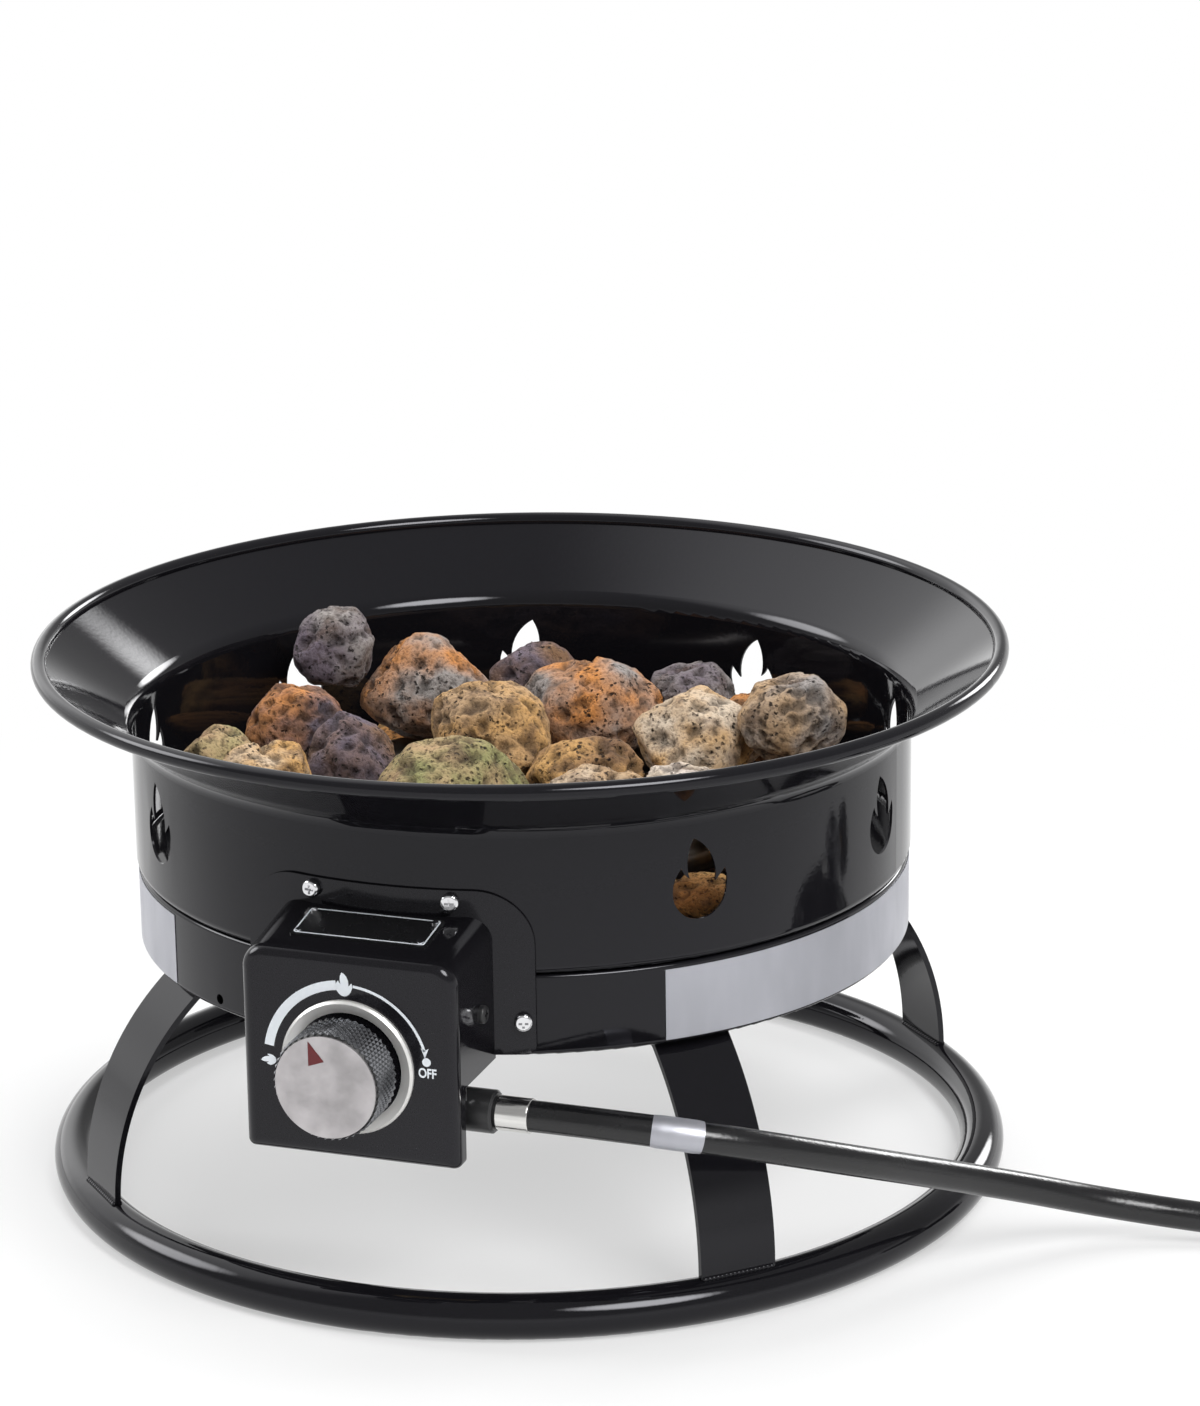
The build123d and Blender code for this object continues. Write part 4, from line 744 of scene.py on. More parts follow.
def ball_points(level):
    """The points and triangles of a ball."""
    ball = bmesh.new()
    bmesh.ops.create_icosphere(ball, subdivisions=level, radius=1.0)
    points = np.array([vert.co for vert in ball.verts])
    triangles = [[vert.index for vert in face.verts] for face in ball.faces]
    ball.free()
    return points, triangles


def soft_radius(ball, normals, reach):
    """How far out each direction meets a set of planes, with their edges rounded off."""
    lean = np.clip(ball @ normals.T, 0, None) / reach
    return (lean ** SOFT_CORNERS).sum(1) ** (-1 / SOFT_CORNERS)


def swell_at(point):
    """How much the noise swells a stone at a point."""
    return noise.fractal(point, SWELL_ROUGHNESS, SWELL_STEP, SWELL_LAYERS)


def blow_up(block, ball, dice, pits):
    """One stone: its points, and how deep each point lies in a pit, from 0 to 1, which sets the painted
    shade in the pits.
    """
    middle, normals, reach = block
    whole = soft_radius(ball, normals, reach)
    chipped = [dice.randrange(len(ball)) for chip in range(CHIPS)]
    chip_reach = [whole[spot] * dice.uniform(*CHIP_DEPTH) for spot in chipped]
    chip_faces = np.concatenate((normals, ball[chipped]))
    radius = BLOW_UP * soft_radius(ball, chip_faces, np.concatenate((reach, chip_reach)))
    shift = Vector([dice.uniform(-NOISE_SHIFT, NOISE_SHIFT) for axis in range(3)])
    swell = np.array([swell_at(Vector(point) * SWELL_SCALE + shift) for point in ball])
    points = ball * (radius * (1 + SWELL * swell))[:, None]
    warp = np.array([noise.noise_vector(Vector(point) * PIT_WARP_SCALE + shift) for point in points])
    bent = points + PIT_WARP * warp
    depth = np.zeros(len(ball))
    pit_shade_mask = np.zeros(len(ball))
    narrow, wide = PIT_WIDTHS
    for pit in range(pits):
        spot = bent[dice.randrange(len(ball))]
        width = narrow + (wide - narrow) * dice.random() ** PIT_BIAS
        oval = np.array([dice.uniform(*PIT_OVAL) for axis in range(3)])
        away = np.linalg.norm((bent - spot) * oval, axis=1) / width
        dent = np.clip(1 - away ** 2, 0, 1)
        depth = np.maximum(depth, dent * width * PIT_DEPTH)
        # The mask of painted pit shade, full a little inside each pit's edge.
        pit_shade_mask = np.maximum(pit_shade_mask, np.clip(PIT_SHADE_EDGE * dent, 0, 1))
    points = points - ball * depth[:, None]
    return points + middle, pit_shade_mask


# %% Stones as one mesh
TINTS = {
    "tan": (0.46, 0.31, 0.18),
    "ochre": (0.53, 0.31, 0.12),
    "orange": (0.56, 0.24, 0.075),
    "olive": (0.28, 0.27, 0.12),
    "grey": (0.30, 0.275, 0.26),
    "plum": (0.135, 0.110, 0.135),
    "pale": (0.60, 0.50, 0.39),
    "chalk": (0.66, 0.59, 0.56),
    "brown": (0.20, 0.115, 0.065),
}


def stone_mesh(name, blocks, tints, level, pits, seed):
    """Several stones as one mesh, with their colours and the mask of painted pit shade on its points."""
    ball, triangles = ball_points(level)
    dice = random.Random(seed)
    noise.seed_set(seed)
    points, pit_shade_masks, faces, mains, patches = [], [], [], [], []
    for block, (main, patch) in zip(blocks, tints):
        stone, pit_shade_mask = blow_up(block, ball, dice, pits)
        base = len(ball) * len(points)
        faces += [[base + corner for corner in triangle] for triangle in triangles]
        points.append(stone)
        pit_shade_masks.append(pit_shade_mask)
        mains.append(np.tile((*TINTS[main], 1.0), (len(ball), 1)))
        patches.append(np.tile((*TINTS[patch], 1.0), (len(ball), 1)))
    mesh = bpy.data.meshes.new(name)
    mesh.from_pydata(np.concatenate(points).tolist(), [], faces)
    mesh.shade_smooth()
    for title, values in (("stone_main", mains), ("stone_patch", patches)):
        layer = mesh.attributes.new(title, "FLOAT_COLOR", "POINT")
        layer.data.foreach_set("color", np.concatenate(values).astype(np.float32).ravel())
    # The pit mask goes on the points, for the finish to paint shade into the pits.
    layer = mesh.attributes.new("stone_pore", "FLOAT", "POINT")
    layer.data.foreach_set("value", np.concatenate(pit_shade_masks).astype(np.float32))
    return mesh


# %% [markdown]
# Pumice is never one colour. Its two colours lie in drifts, with darker stains and a coarse grain over
# them. Shade is painted into the pits, large and small, near black. The large pits are in the mesh; the
# small ones are too many for that, so they are scattered points in the finish, bent out of round and
# crowded in places.

# %% Rock finish
DRIFT_SCALE = 32.0
DRIFT_FROM = (0.38, 0.62)
STAIN_SCALE = 75.0
STAIN_FROM = (0.52, 0.68)
STAIN_SHARE = 0.7
STAIN_TONE = (0.085, 0.050, 0.035)
GRAIN_SCALE = 650.0
GRAIN_FROM = (0.32, 0.50)
GRAIN_SHARE = 0.6
GRAIN_TONE = (0.05, 0.035, 0.03)
GRAIN_ROUGH = (0.98, 0.78)
GRAIN_DEPTH = 0.0009
BUBBLE_SCALE = 300.0
BUBBLE_FROM = (0.16, 0.34)
BUBBLE_BEND = (500.0, 0.0035)
BUBBLE_DEPTH = 0.0016
CROWD_SCALE = 60.0
CROWD_FROM = (0.40, 0.56)
# Painted shade in the pits: the share the large pits take, how strong it is, and its colour.
LARGE_PIT_SHADE = 0.68
PIT_SHADE_STRENGTH = 0.95
PIT_SHADE_TONE = (0.014, 0.010, 0.009)


def pumice(name):
    """Two colours in drifts, darker stains and grain, and near-black painted shade in pits of several
    sizes.
    """
    rock = Finish(name)
    drift = rock.span(rock.noise(DRIFT_SCALE, 5.0), *DRIFT_FROM)
    tone = rock.mix(drift, *(rock.attribute(title, "Color") for title in ("stone_main", "stone_patch")))
    stain = rock.span(rock.noise(STAIN_SCALE, 4.0), *STAIN_FROM, 0.0, STAIN_SHARE)
    tone = rock.mix(stain, tone, STAIN_TONE)
    grain = rock.noise(GRAIN_SCALE, 5.0)
    tone = rock.mix(rock.span(grain, *GRAIN_FROM, GRAIN_SHARE, 0.0), tone, GRAIN_TONE)
    bubbles = rock.span(rock.cells(BUBBLE_SCALE, rock.bent(*BUBBLE_BEND)), *BUBBLE_FROM, 1.0, 0.0)
    crowd = rock.span(rock.noise(CROWD_SCALE), *CROWD_FROM)
    holes = rock.calc("MULTIPLY", bubbles, crowd)
    # The pits, small from the scattered points and large from the mesh, are painted near black as shade.
    large = rock.calc("MULTIPLY", rock.attribute("stone_pore"), LARGE_PIT_SHADE)
    pits = rock.calc("MAXIMUM", holes, large)
    rock.colour(rock.calc("MULTIPLY", pits, PIT_SHADE_STRENGTH), tone, PIT_SHADE_TONE)
    rock.roughen(grain, *GRAIN_ROUGH)
    rough = rock.bump(grain, GRAIN_DEPTH)
    rock.bump(rock.calc("MULTIPLY", holes, -1.0), BUBBLE_DEPTH, rough)
    return rock.material


pumice_rock = pumice("pumice_rock")
print("rock finish ready")

# %% [markdown]
# The upper stones each have their own colours: warm tan and ochre in the middle, paler ones at the front,
# plum and grey ones between. A place in the bowl names the stone, so a colour stays with its stone.
# The stones below are seen only between the others, so they have fewer points and share two sets of
# colours. The outer row's orange and ochre is partly the rock's colour and partly painted fire glow,
# seen through the flame cut-outs in the wall.

# %% Heap and bed
HEAP_TINTS = {
    (-0.138, -0.062): ("tan", "olive"),
    (-0.122, 0.004): ("orange", "plum"),
    (-0.096, -0.104): ("pale", "ochre"),
    (-0.078, -0.034): ("plum", "brown"),
    (-0.076, 0.070): ("grey", "orange"),
    (-0.020, 0.004): ("ochre", "tan"),
    (-0.014, -0.070): ("tan", "olive"),
    (0.006, 0.084): ("orange", "grey"),
    (0.042, -0.020): ("brown", "ochre"),
    (0.078, 0.040): ("pale", "ochre"),
    (0.070, -0.086): ("pale", "tan"),
    (0.128, -0.034): ("pale", "grey"),
    (0.132, 0.036): ("tan", "grey"),
    (0.092, 0.104): ("brown", "orange"),
    (-0.018, -0.138): ("pale", "tan"),
    (0.036, -0.142): ("ochre", "pale"),
    (-0.130, 0.072): ("plum", "grey"),
    (-0.040, 0.132): ("brown", "plum"),
    (0.044, 0.138): ("grey", "plum"),
    (0.118, -0.098): ("pale", "chalk"),
}
# The outer row's orange and ochre is partly rock colour and partly painted fire glow, seen through the
# flame cut-outs.
BED_TINTS = {"inner": ("brown", "plum"), "outer": ("orange", "ochre")}
HEAP_LEVEL = 5
HEAP_PITS = 210
HEAP_SEED = 11
HEAP_PIECES = 3
BED_LEVEL = 4
BED_PITS = 70
BED_SEED = 5
BED_MIDDLE = 0.115


def heap_tints(block):
    """The colours of the heap's stone that lies nearest to a listed place."""
    spot = min(HEAP_TINTS, key=lambda place: math.dist(place, block[0][:2]))
    return HEAP_TINTS[spot]


def bed_tints(block):
    """The colours of the bed's stone, by its row."""
    return BED_TINTS["inner" if math.hypot(*block[0][:2]) < BED_MIDDLE else "outer"]


def lay_stones(name, mesh, stands_for):
    """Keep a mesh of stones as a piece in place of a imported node."""
    keep(piece_from(name, mesh, pumice_rock), "root", "lava_rock", stands_for)
    print(name, len(mesh.polygons), "triangles")


heap_blocks.sort(key=lambda block: block[0][1])
share = math.ceil(len(heap_blocks) / HEAP_PIECES)
for part in range(HEAP_PIECES):
    some = heap_blocks[part * share:(part + 1) * share]
    name = f"heap_rocks_{part + 1}"
    tints = map(heap_tints, some)
    lay_stones(name, stone_mesh(name, some, tints, HEAP_LEVEL, HEAP_PITS, HEAP_SEED + part), "lava_heap")
tints = map(bed_tints, bed_blocks)
bed_mesh = stone_mesh("bed_rocks", bed_blocks, tints, BED_LEVEL, BED_PITS, BED_SEED)
lay_stones("bed_rocks", bed_mesh, "lava_bed")

# %% [markdown]
# ## Knurl on the knob
#
# The knob's side is knurled: small four-sided points in rows, each row half a step round from the last.
# A bump could fake it, but the knob's edge would stay smooth, so the points are real.
# One point is modelled, a ring of them is set on a circle, and the ring is repeated along the knob.
# That is a job for Geometry Nodes, whose inputs are the sizes that a maker would state.


# %% Tools for node trees
class Tree(Wiring):
    """A Geometry Nodes tree being made, whose inputs are named sizes."""

    family = ""

    def __init__(self, name, **inputs):
        super().__init__(bpy.data.node_groups.new(name, "GeometryNodeTree"))
        sockets = self.tree.interface
        sockets.new_socket("Geometry", in_out="OUTPUT", socket_type="NodeSocketGeometry")
        for title, kind in inputs.items():
            label = title.replace("_", " ")
            sockets.new_socket(label, in_out="INPUT", socket_type="NodeSocket" + kind)
        self.inputs = self.node("NodeGroupInput")
        self.output = self.node("NodeGroupOutput")

    def size(self, title):
        """The output of a named input."""
        return self.inputs.outputs[title]

    def calc(self, operation, *values):
        """A number worked out from others."""
        return self.node("ShaderNodeMath", *values, operation=operation).outputs[0]

    def vector(self, x=0.0, y=0.0, z=0.0):
        """Three numbers as one vector."""
        return self.node("ShaderNodeCombineXYZ", X=x, Y=y, Z=z).outputs[0]

    def index(self):
        """The number of a copy, counted from 0."""
        return self.node("GeometryNodeInputIndex").outputs[0]

    def turned(self, **angles):
        """A turn about the axes."""
        return self.node("FunctionNodeEulerToRotation", Euler=self.vector(**angles)).outputs[0]

    def repeat(self, count, instance, place=(0, 0, 0), **changes):
        """So many copies of a thing, each at its own place."""
        seats = self.node("GeometryNodePoints", Count=count, Position=place).outputs[0]
        copies = self.node("GeometryNodeInstanceOnPoints", Points=seats, Instance=instance, **changes)
        return copies.outputs[0]

    def finish(self, geometry):
        """End the tree: real geometry with its finish."""
        real = self.node("GeometryNodeRealizeInstances", Geometry=geometry).outputs[0]
        dressed = self.node("GeometryNodeSetMaterial", Geometry=real, Material=self.size("Finish"))
        self.feed(self.output.inputs[0], dressed.outputs[0])


def grow(name, tree, **sizes):
    """Run a tree with these sizes, and keep its result as a plain mesh object at the origin."""
    carrier = add_object(name, bpy.data.meshes.new(name))
    modifier = carrier.modifiers.new("nodes", "NODES")
    modifier.node_group = tree.tree
    for item in tree.tree.interface.items_tree:
        key = item.name.replace(" ", "_")
        if item.in_out == "INPUT" and key in sizes:
            modifier[item.identifier] = sizes[key]
    graph = bpy.context.evaluated_depsgraph_get()
    mesh = bpy.data.meshes.new_from_object(carrier.evaluated_get(graph))
    mesh.materials.pop(index=0)
    carrier.modifiers.clear()
    carrier.data = mesh
    print(name, len(mesh.polygons), "faces")
    return carrier


# %% Knurl
KNURL_ROUND = 46
KNURL_ROWS = 12
KNURL_RISE = 0.00095
KNURL_FILL = 0.97
KNURL_SIDES = 4


def knurl_tree():
    """Rows of four-sided points round the Y axis."""
    tree = Tree(
        "knurl", Points_round="Int", Rows="Int", Radius="Float", First_row="Float", Row_step="Float",
        Point_width="Float", Point_height="Float", Axis_height="Float", Finish="Material",
    )
    step = tree.calc("DIVIDE", math.tau, tree.size("Points round"))
    point = tree.node(
        "GeometryNodeMeshCone", Vertices=KNURL_SIDES, Radius_Top=0.0,
        Radius_Bottom=tree.size("Point width"), Depth=tree.size("Point height"),
    ).outputs["Mesh"]
    angle = tree.calc("MULTIPLY", tree.index(), step)
    across = tree.calc("COSINE", angle)
    up = tree.calc("SINE", angle)
    out = tree.calc("MULTIPLY", across, tree.size("Radius"))
    high = tree.calc("MULTIPLY", up, tree.size("Radius"))
    facing = tree.node("FunctionNodeAlignRotationToVector", Vector=tree.vector(x=across, z=up))
    facing.axis = "Z"
    ring = tree.repeat(
        tree.size("Points round"), point, tree.vector(x=out, z=high), Rotation=facing.outputs[0],
    )
    row = tree.index()
    back = tree.calc("MULTIPLY_ADD", row, tree.size("Row step"), tree.size("First row"))
    half_step = tree.calc("MULTIPLY", tree.calc("MODULO", row, 2.0), tree.calc("DIVIDE", step, 2.0))
    seat = tree.vector(y=back, z=tree.size("Axis height"))
    tree.finish(tree.repeat(tree.size("Rows"), ring, seat, Rotation=tree.turned(y=half_step)))
    return tree


knob_low, knob_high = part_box("knob")
knob_r = (knob_high.x - knob_low.x) / 2
knurl_step = math.tau * knob_r / KNURL_ROUND / 2
knurl_length = (KNURL_ROWS - 1) * knurl_step
knurl_first = (knob_low.y + knob_high.y) / 2 - knurl_length / 2
pewter = metal("pewter", (0.24, 0.245, 0.26), 0.22, 900.0, 0.00001)
knurl = grow(
    "knob_knurl", knurl_tree(), Points_round=KNURL_ROUND, Rows=KNURL_ROWS, Radius=knob_r,
    First_row=knurl_first, Row_step=knurl_step, Point_width=knurl_step * KNURL_FILL,
    Point_height=KNURL_RISE, Axis_height=KNOB_Z, Finish=pewter,
)
keep(knurl, "knob", "knob_black")

# %% [markdown]
# ## Spring behind the knob
#
# Inside the box a short wire spring pushes the knob out again. It is wound afresh on the same sizes,
# as a fixed mesh in place of the imported one.

# %% Return spring
SPRING_WIRE = 0.0008
SPRING_TURNS = 3.5
SPRING_POINTS = 24
SPRING_ROUNDNESS = 3
SPRING_STEPS = 3
spring_low, spring_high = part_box("valve_spring")
spring_r = (spring_high.x - spring_low.x - SPRING_WIRE) / 2
spring_run = spring_high.y - spring_low.y - SPRING_WIRE
spring_count = round(SPRING_TURNS * SPRING_POINTS)
winding = []
for step in range(spring_count + 1):
    angle = math.tau * step / SPRING_POINTS
    along = spring_low.y + SPRING_WIRE / 2 + spring_run * step / spring_count
    winding.append((spring_r * math.cos(angle), along, KNOB_Z + spring_r * math.sin(angle)))
wire_line = spline_through("wire_line", winding)
thicken(wire_line.data, SPRING_WIRE, SPRING_ROUNDNESS, SPRING_STEPS)
spring_mesh = bpy.data.meshes.new_from_object(wire_line)
bpy.data.objects.remove(wire_line)
return_spring = keep(piece_from("return_spring", spring_mesh, zinc), "root", "zinc_steel", "valve_spring")
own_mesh(return_spring)
print("return spring", len(spring_mesh.polygons), "faces")

# %% [markdown]
# ## Weld beads on the stand
#
# Each leg's foot is welded to the ring along both faces. A weld is a row of overlapping drops,
# so one drop is repeated along a line, and the line is repeated at the four legs.
# A swept bead would need a line for each foot; the tree needs only the sizes.

# %% Weld beads
LEG_COUNT = 4
LEG_W = 0.039
LEG_T = 0.003
FIRST_LEG = math.radians(45)
RING_FLAT = 0.0005
WELD_DROPS = 17
WELD_INSET = 0.002
DROP_R = 0.0019
DROP_SHAPE = (0.9, 0.75, 0.75)
DROP_LEVEL = 2


def weld_tree():
    """Lines of drops across the legs, a quarter turn apart."""
    tree = Tree(
        "weld", Drops="Int", Seam="Float", Away="Float", Height="Float", Drop_radius="Float", Legs="Int",
        First_leg="Float", Finish="Material",
    )
    drop = tree.node("GeometryNodeMeshIcoSphere", Radius=tree.size("Drop radius"), Subdivisions=DROP_LEVEL)
    gap = tree.calc("DIVIDE", tree.size("Seam"), tree.size("Drops"))
    left = tree.calc("MULTIPLY", tree.size("Seam"), -0.5)
    along = tree.calc("MULTIPLY_ADD", tree.calc("ADD", tree.index(), 0.5), gap, left)
    front = tree.calc("MULTIPLY", tree.size("Away"), -1.0)
    spot = tree.vector(x=along, y=front, z=tree.size("Height"))
    line = tree.repeat(tree.size("Drops"), drop.outputs["Mesh"], spot, Scale=DROP_SHAPE)
    quarter = tree.calc("DIVIDE", math.tau, tree.size("Legs"))
    turn = tree.calc("MULTIPLY_ADD", tree.index(), quarter, tree.size("First leg"))
    lines = tree.repeat(tree.size("Legs"), line, Rotation=tree.turned(z=turn))
    tree.finish(tree.node("GeometryNodeSetShadeSmooth", Geometry=lines).outputs[0])
    return tree


ring_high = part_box("base_ring")[1]
ring_tube = ring_high.z + RING_FLAT
ring_r = ring_high.x - ring_tube / 2
drops_tree = weld_tree()
for side, out in (("outer", LEG_T / 2), ("inner", -LEG_T / 2)):
    bead = grow(
        f"leg_weld_{side}", drops_tree, Drops=WELD_DROPS, Seam=LEG_W - WELD_INSET, Away=ring_r + out,
        Height=ring_high.z, Drop_radius=DROP_R, Legs=LEG_COUNT, First_leg=FIRST_LEG, Finish=bowl_enamel,
    )
    keep(bead, "root", "black_enamel")

# %% [markdown]
# ## Dial print
#
# The face is printed with a small flame for low, a large one for high, a band between them,
# and a thin arrow to OFF. A picture on the face would be blurred up close, so each mark is a thin slab
# of paint. Bands are strips worked out from a radius and two angles,
# and a flame is a ring of arcs between its corners.

# %% Outlines
FLAME_SHAPE = 0.70
FLAME_STEPS = 8
FLAME_ARCS = [
    ((-0.50, -0.15), (0.00, -0.50)),
    ((0.50, -0.15), (0.515, -0.04)),
    ((0.47, 0.08), (0.36, -0.01)),
    ((0.29, -0.06), (0.24, 0.23)),
    ((-0.11, 0.50), (-0.23, 0.25)),
    ((-0.19, 0.01), (-0.27, 0.06)),
    ((-0.34, 0.15), (-0.46, 0.02)),
]


def on_circle(radius, degrees):
    """A point of a circle, with the angle from the right, counter-clockwise."""
    angle = math.radians(degrees)
    return Vector((radius * math.cos(angle), radius * math.sin(angle)))


def arc_outline(radius, width, start, end, steps):
    """A strip along an arc."""
    angles = [start + (end - start) * step / steps for step in range(steps + 1)]
    outer = [on_circle(radius + width / 2, angle) for angle in angles]
    inner = [on_circle(radius - width / 2, angle) for angle in angles]
    return outer + inner[::-1]


def arc_through(start, through, end, steps):
    """Points along the arc from one point to another by way of a third, without the last."""
    a, b, c = (complex(*spot) for spot in (start, through, end))
    share = (c - a) / (b - a)
    middle = a + (b - a) * (share - abs(share) ** 2) / (2j * share.imag)
    sweep = cmath.phase((b - middle) / (a - middle)) + cmath.phase((c - middle) / (b - middle))
    spots = [middle + (a - middle) * cmath.exp(1j * sweep * step / steps) for step in range(steps)]
    return [(spot.real, spot.imag) for spot in spots]


def flame_outline(height, place, turn):
    """A closed flame of a height, about a place and turned by an angle."""
    size = Vector((height * FLAME_SHAPE, height))
    spin = Matrix.Rotation(turn, 2)
    outline = []
    for step, (corner, through) in enumerate(FLAME_ARCS):
        after = FLAME_ARCS[(step + 1) % len(FLAME_ARCS)][0]
        for spot in arc_through(corner, through, after, FLAME_STEPS):
            outline.append(Vector(place) + spin @ (Vector(spot) * size))
    return outline


# %% Paint on the face
PAINT_T = 0.00012
DIAL_Y = -0.238
CAPITAL_SHARE = 0.7
LETTER_BOLD = 0.00016
LETTER_NARROW = 0.78


def on_dial(x, z):
    """A point of the dial face, given from the knob's axis."""
    return Vector((x, DIAL_Y, KNOB_Z + z))


def bridge(shape, first, second):
    """Add the faces between two closed rows of corners."""
    for place in range(len(first)):
        after = (place + 1) % len(first)
        shape.faces.new((first[place], first[after], second[after], second[place]))


def slab(shape, outline):
    """Add a closed outline on the dial face to a bmesh, as a thin slab."""
    back = [shape.verts.new(on_dial(x, z)) for x, z in outline]
    front = [shape.verts.new(on_dial(x, z) - Vector((0, PAINT_T, 0))) for x, z in outline]
    shape.faces.new(front)
    shape.faces.new(list(reversed(back)))
    bridge(shape, back, front)


def lettering(word, height, place):
    """A word as a mesh on the dial face, centred on a place."""
    text = bpy.data.curves.new(word, "FONT")
    text.body = word
    text.size = height / CAPITAL_SHARE
    text.align_x = "CENTER"
    text.align_y = "CENTER"
    text.extrude = PAINT_T / 2
    text.offset = LETTER_BOLD
    holder = bpy.data.objects.new(word, text)
    mesh = bpy.data.meshes.new_from_object(holder)
    bpy.data.objects.remove(holder)
    stand_up = Matrix.Rotation(math.pi / 2, 4, "X")
    centre = on_dial(*place) - Vector((0, PAINT_T / 2, 0))
    narrow = Matrix.Diagonal((LETTER_NARROW, 1, 1, 1))
    mesh.transform(Matrix.Translation(centre) @ stand_up @ narrow)
    return mesh


def mesh_from(name, shape):
    """End a bmesh: a mesh with its faces turned outwards."""
    bmesh.ops.recalc_face_normals(shape, faces=shape.faces)
    mesh = bpy.data.meshes.new(name)
    shape.to_mesh(mesh)
    shape.free()
    print(name, len(mesh.polygons), "faces")
    return mesh


# %% Print the dial
DIAL_R = 0.0395
WIDE_BAND = dict(width=0.0046, start=171, end=97, steps=32)
THIN_LINE = dict(width=0.0013, start=85, end=17, steps=40)
HIGH_FLAME = 0.0115
HIGH_PLACE = (-0.001, DIAL_R + 0.0004)
LOW_FLAME = 0.0075
LOW_PLACE = (-DIAL_R, -0.001)
LOW_TURN = math.radians(90)
ARROW = [(0.0, -0.0026), (0.0019, 0.0022), (0.0, 0.0012), (-0.0019, 0.0022)]
ARROW_ANGLE = 16
DOT_R = 0.0021
DOT_SIDES = 24
OFF_ANGLE = 10
OFF_SHIFT = Vector((-0.0002, -0.0005))
WORD_HEIGHT = 0.0045
WORD_SHIFT = Vector((0.0003, -0.0056))

arrow_at = on_circle(DIAL_R, ARROW_ANGLE)
dot_at = on_circle(DIAL_R, OFF_ANGLE) + OFF_SHIFT
dot = [on_circle(DOT_R, 360 * side / DOT_SIDES) for side in range(DOT_SIDES)]
print_shape = bmesh.new()
slab(print_shape, arc_outline(DIAL_R, **WIDE_BAND))
slab(print_shape, arc_outline(DIAL_R, **THIN_LINE))
slab(print_shape, flame_outline(HIGH_FLAME, HIGH_PLACE, 0.0))
slab(print_shape, flame_outline(LOW_FLAME, LOW_PLACE, LOW_TURN))
slab(print_shape, [arrow_at + Vector(corner) for corner in ARROW])
slab(print_shape, [dot_at + corner for corner in dot])
print_shape.from_mesh(lettering("OFF", WORD_HEIGHT, dot_at + WORD_SHIFT))
dial_mesh = mesh_from("dial_print", print_shape)
keep(piece_from("dial_print", dial_mesh, dial_white), "root", "foil")

# %% [markdown]
# ## Border on the name plate
#
# The plate on the box's sloping top is bare but for a thin bright line near its edge.
# The line is a closed frame with rounded corners, laid on the plate's own plane.
# It has a thickness of its own, because paint level with the plate would flicker through it.

# %% Plate border
PLATE_SLOPE = math.radians(8.7)
PLATE_T = 0.0008
BORDER_W = 0.0007
BORDER_INSET = 0.0016
BORDER_ROUND = 0.0016
BORDER_STEPS = 6
plate_low, plate_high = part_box("name_plate")
plate_up = Vector((0, -math.sin(PLATE_SLOPE), math.cos(PLATE_SLOPE)))
plate_back = Vector((0, math.cos(PLATE_SLOPE), math.sin(PLATE_SLOPE)))
plate_top = (plate_low + plate_high) / 2 + plate_up * PLATE_T / 2
plate_width = plate_high.x - plate_low.x
plate_depth = (plate_high.y - plate_low.y - PLATE_T * math.sin(PLATE_SLOPE)) / math.cos(PLATE_SLOPE)


def rounded_frame(width, depth, radius):
    """The corners of a rectangle with rounded corners, counter-clockwise."""
    points = []
    for turn, (right, back) in enumerate(((1, 1), (-1, 1), (-1, -1), (1, -1))):
        for step in range(BORDER_STEPS + 1):
            angle = math.pi / 2 * (turn + step / BORDER_STEPS)
            x = right * (width / 2 - radius) + radius * math.cos(angle)
            y = back * (depth / 2 - radius) + radius * math.sin(angle)
            points.append((x, y))
    return points


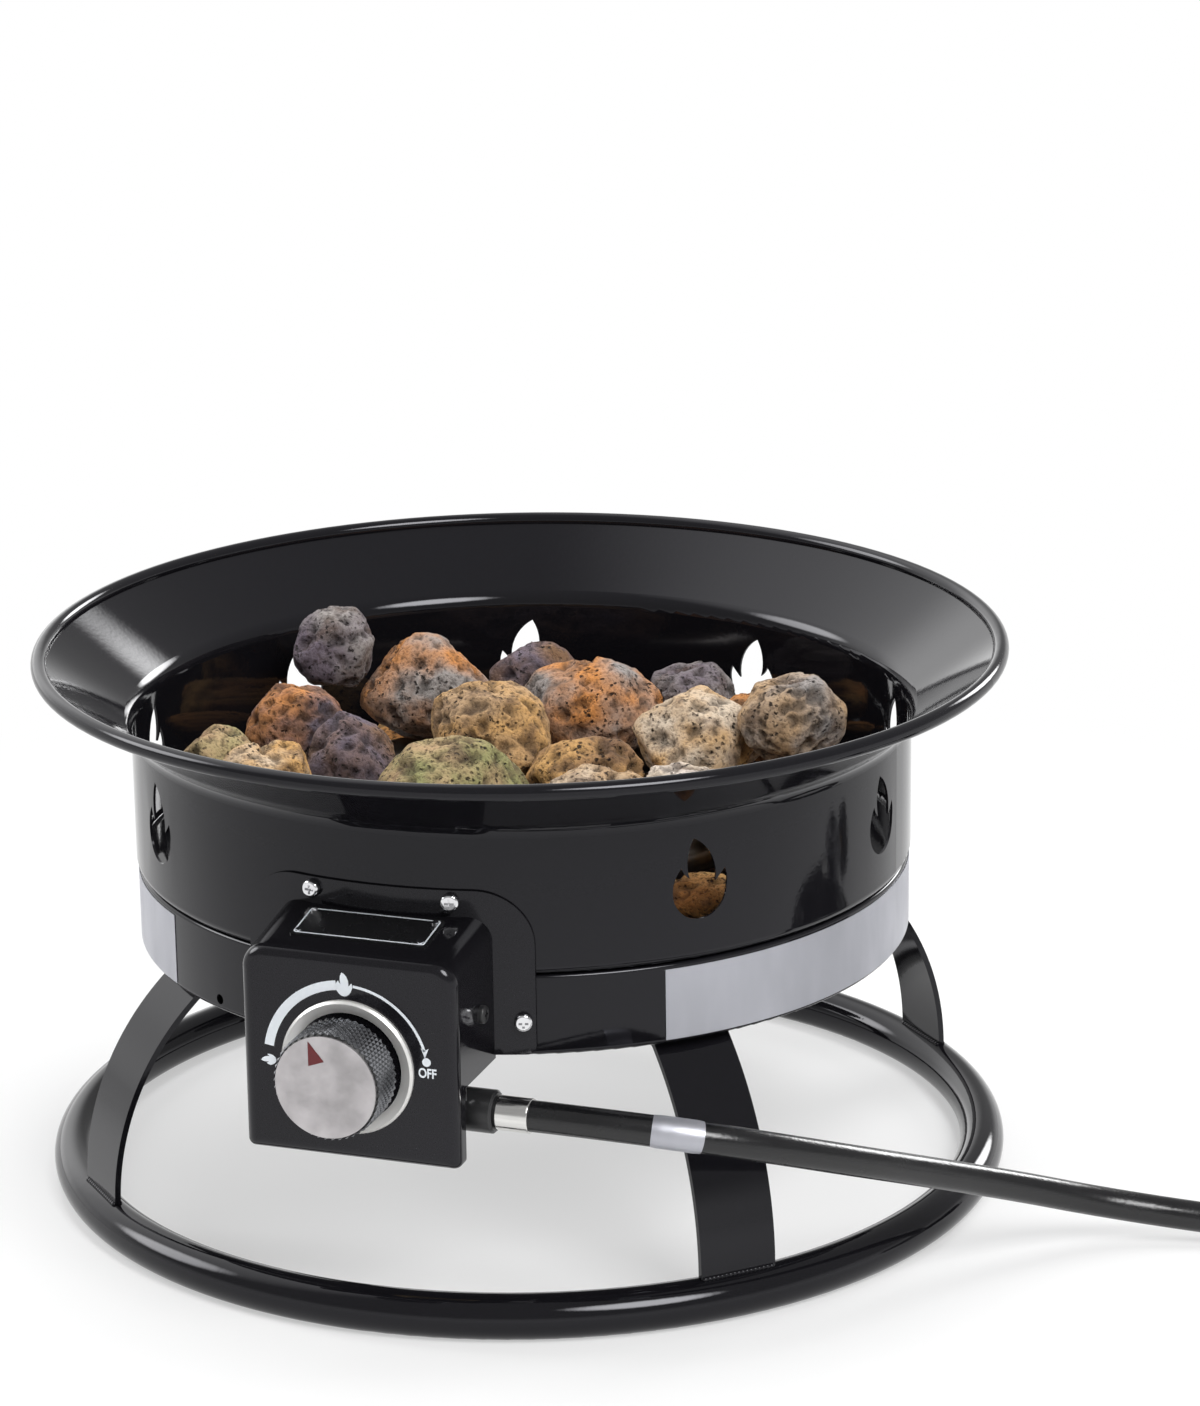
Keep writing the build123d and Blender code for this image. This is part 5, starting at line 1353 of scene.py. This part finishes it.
border_shape = bmesh.new()
loops = []
for inset, rise in ((0, 0), (0, PAINT_T), (BORDER_W, PAINT_T), (BORDER_W, 0)):
    reach = 2 * (BORDER_INSET + inset)
    frame_line = rounded_frame(plate_width - reach, plate_depth - reach, BORDER_ROUND - inset)
    places = [plate_top + Vector((x, 0, 0)) + plate_back * y + plate_up * rise for x, y in frame_line]
    loops.append([border_shape.verts.new(place) for place in places])
for first, second in zip(loops, loops[1:] + loops[:1]):
    bridge(border_shape, first, second)
border_mesh = mesh_from("plate_border", border_shape)
keep(piece_from("plate_border", border_mesh, dial_white), "root", "foil")

# %% [markdown]
# ## Band on the hose
#
# A blank bright band is shrunk round the hose a little way from its ferrule. A straight sleeve would
# leave the hose at its bend, so the band follows points read from the hose's own spline,
# as a tube a hair thicker than the hose.

# %% Hose band
BAND_FROM = 0.057
BAND_L = 0.023
BAND_T = 0.00025
BAND_SIDES = 48
BAND_RINGS = 9


def along_hose(distance):
    """A point of the hose's line and its direction there."""
    for a, b in zip(hose_line, hose_line[1:]):
        run = (b - a).length
        if distance <= run:
            return a + (b - a) * (distance / run), (b - a).normalized()
        distance -= run
    return hose_line[-1], (hose_line[-1] - hose_line[-2]).normalized()


band_shape = bmesh.new()
rings = []
for step in range(BAND_RINGS):
    middle, forward = along_hose(BAND_FROM + BAND_L * step / (BAND_RINGS - 1))
    side = forward.cross(Vector((0, 0, 1))).normalized()
    above = side.cross(forward)
    thick = 0.0 if step in (0, BAND_RINGS - 1) else BAND_T
    radius = HOSE_D / 2 + thick
    ring = []
    for corner in range(BAND_SIDES):
        angle = math.tau * corner / BAND_SIDES
        out = math.cos(angle) * side + math.sin(angle) * above
        ring.append(band_shape.verts.new(middle + radius * out))
    rings.append(ring)
for first, second in zip(rings, rings[1:]):
    bridge(band_shape, first, second)
band_mesh = mesh_from("hose_band", band_shape)
band_mesh.shade_smooth()
hose_band = keep(piece_from("hose_band", band_mesh, label_foil), "root", "foil")

# %% [markdown]
# ## Keeping the hose
#
# Last, the hose, a stiff cord of a fixed length that ends in a regulator, is kept on the root in place of
# the imported hose run and coil.

keep(gas_hose, "root", "hose_rubber", "hose_run", "hose_coil")
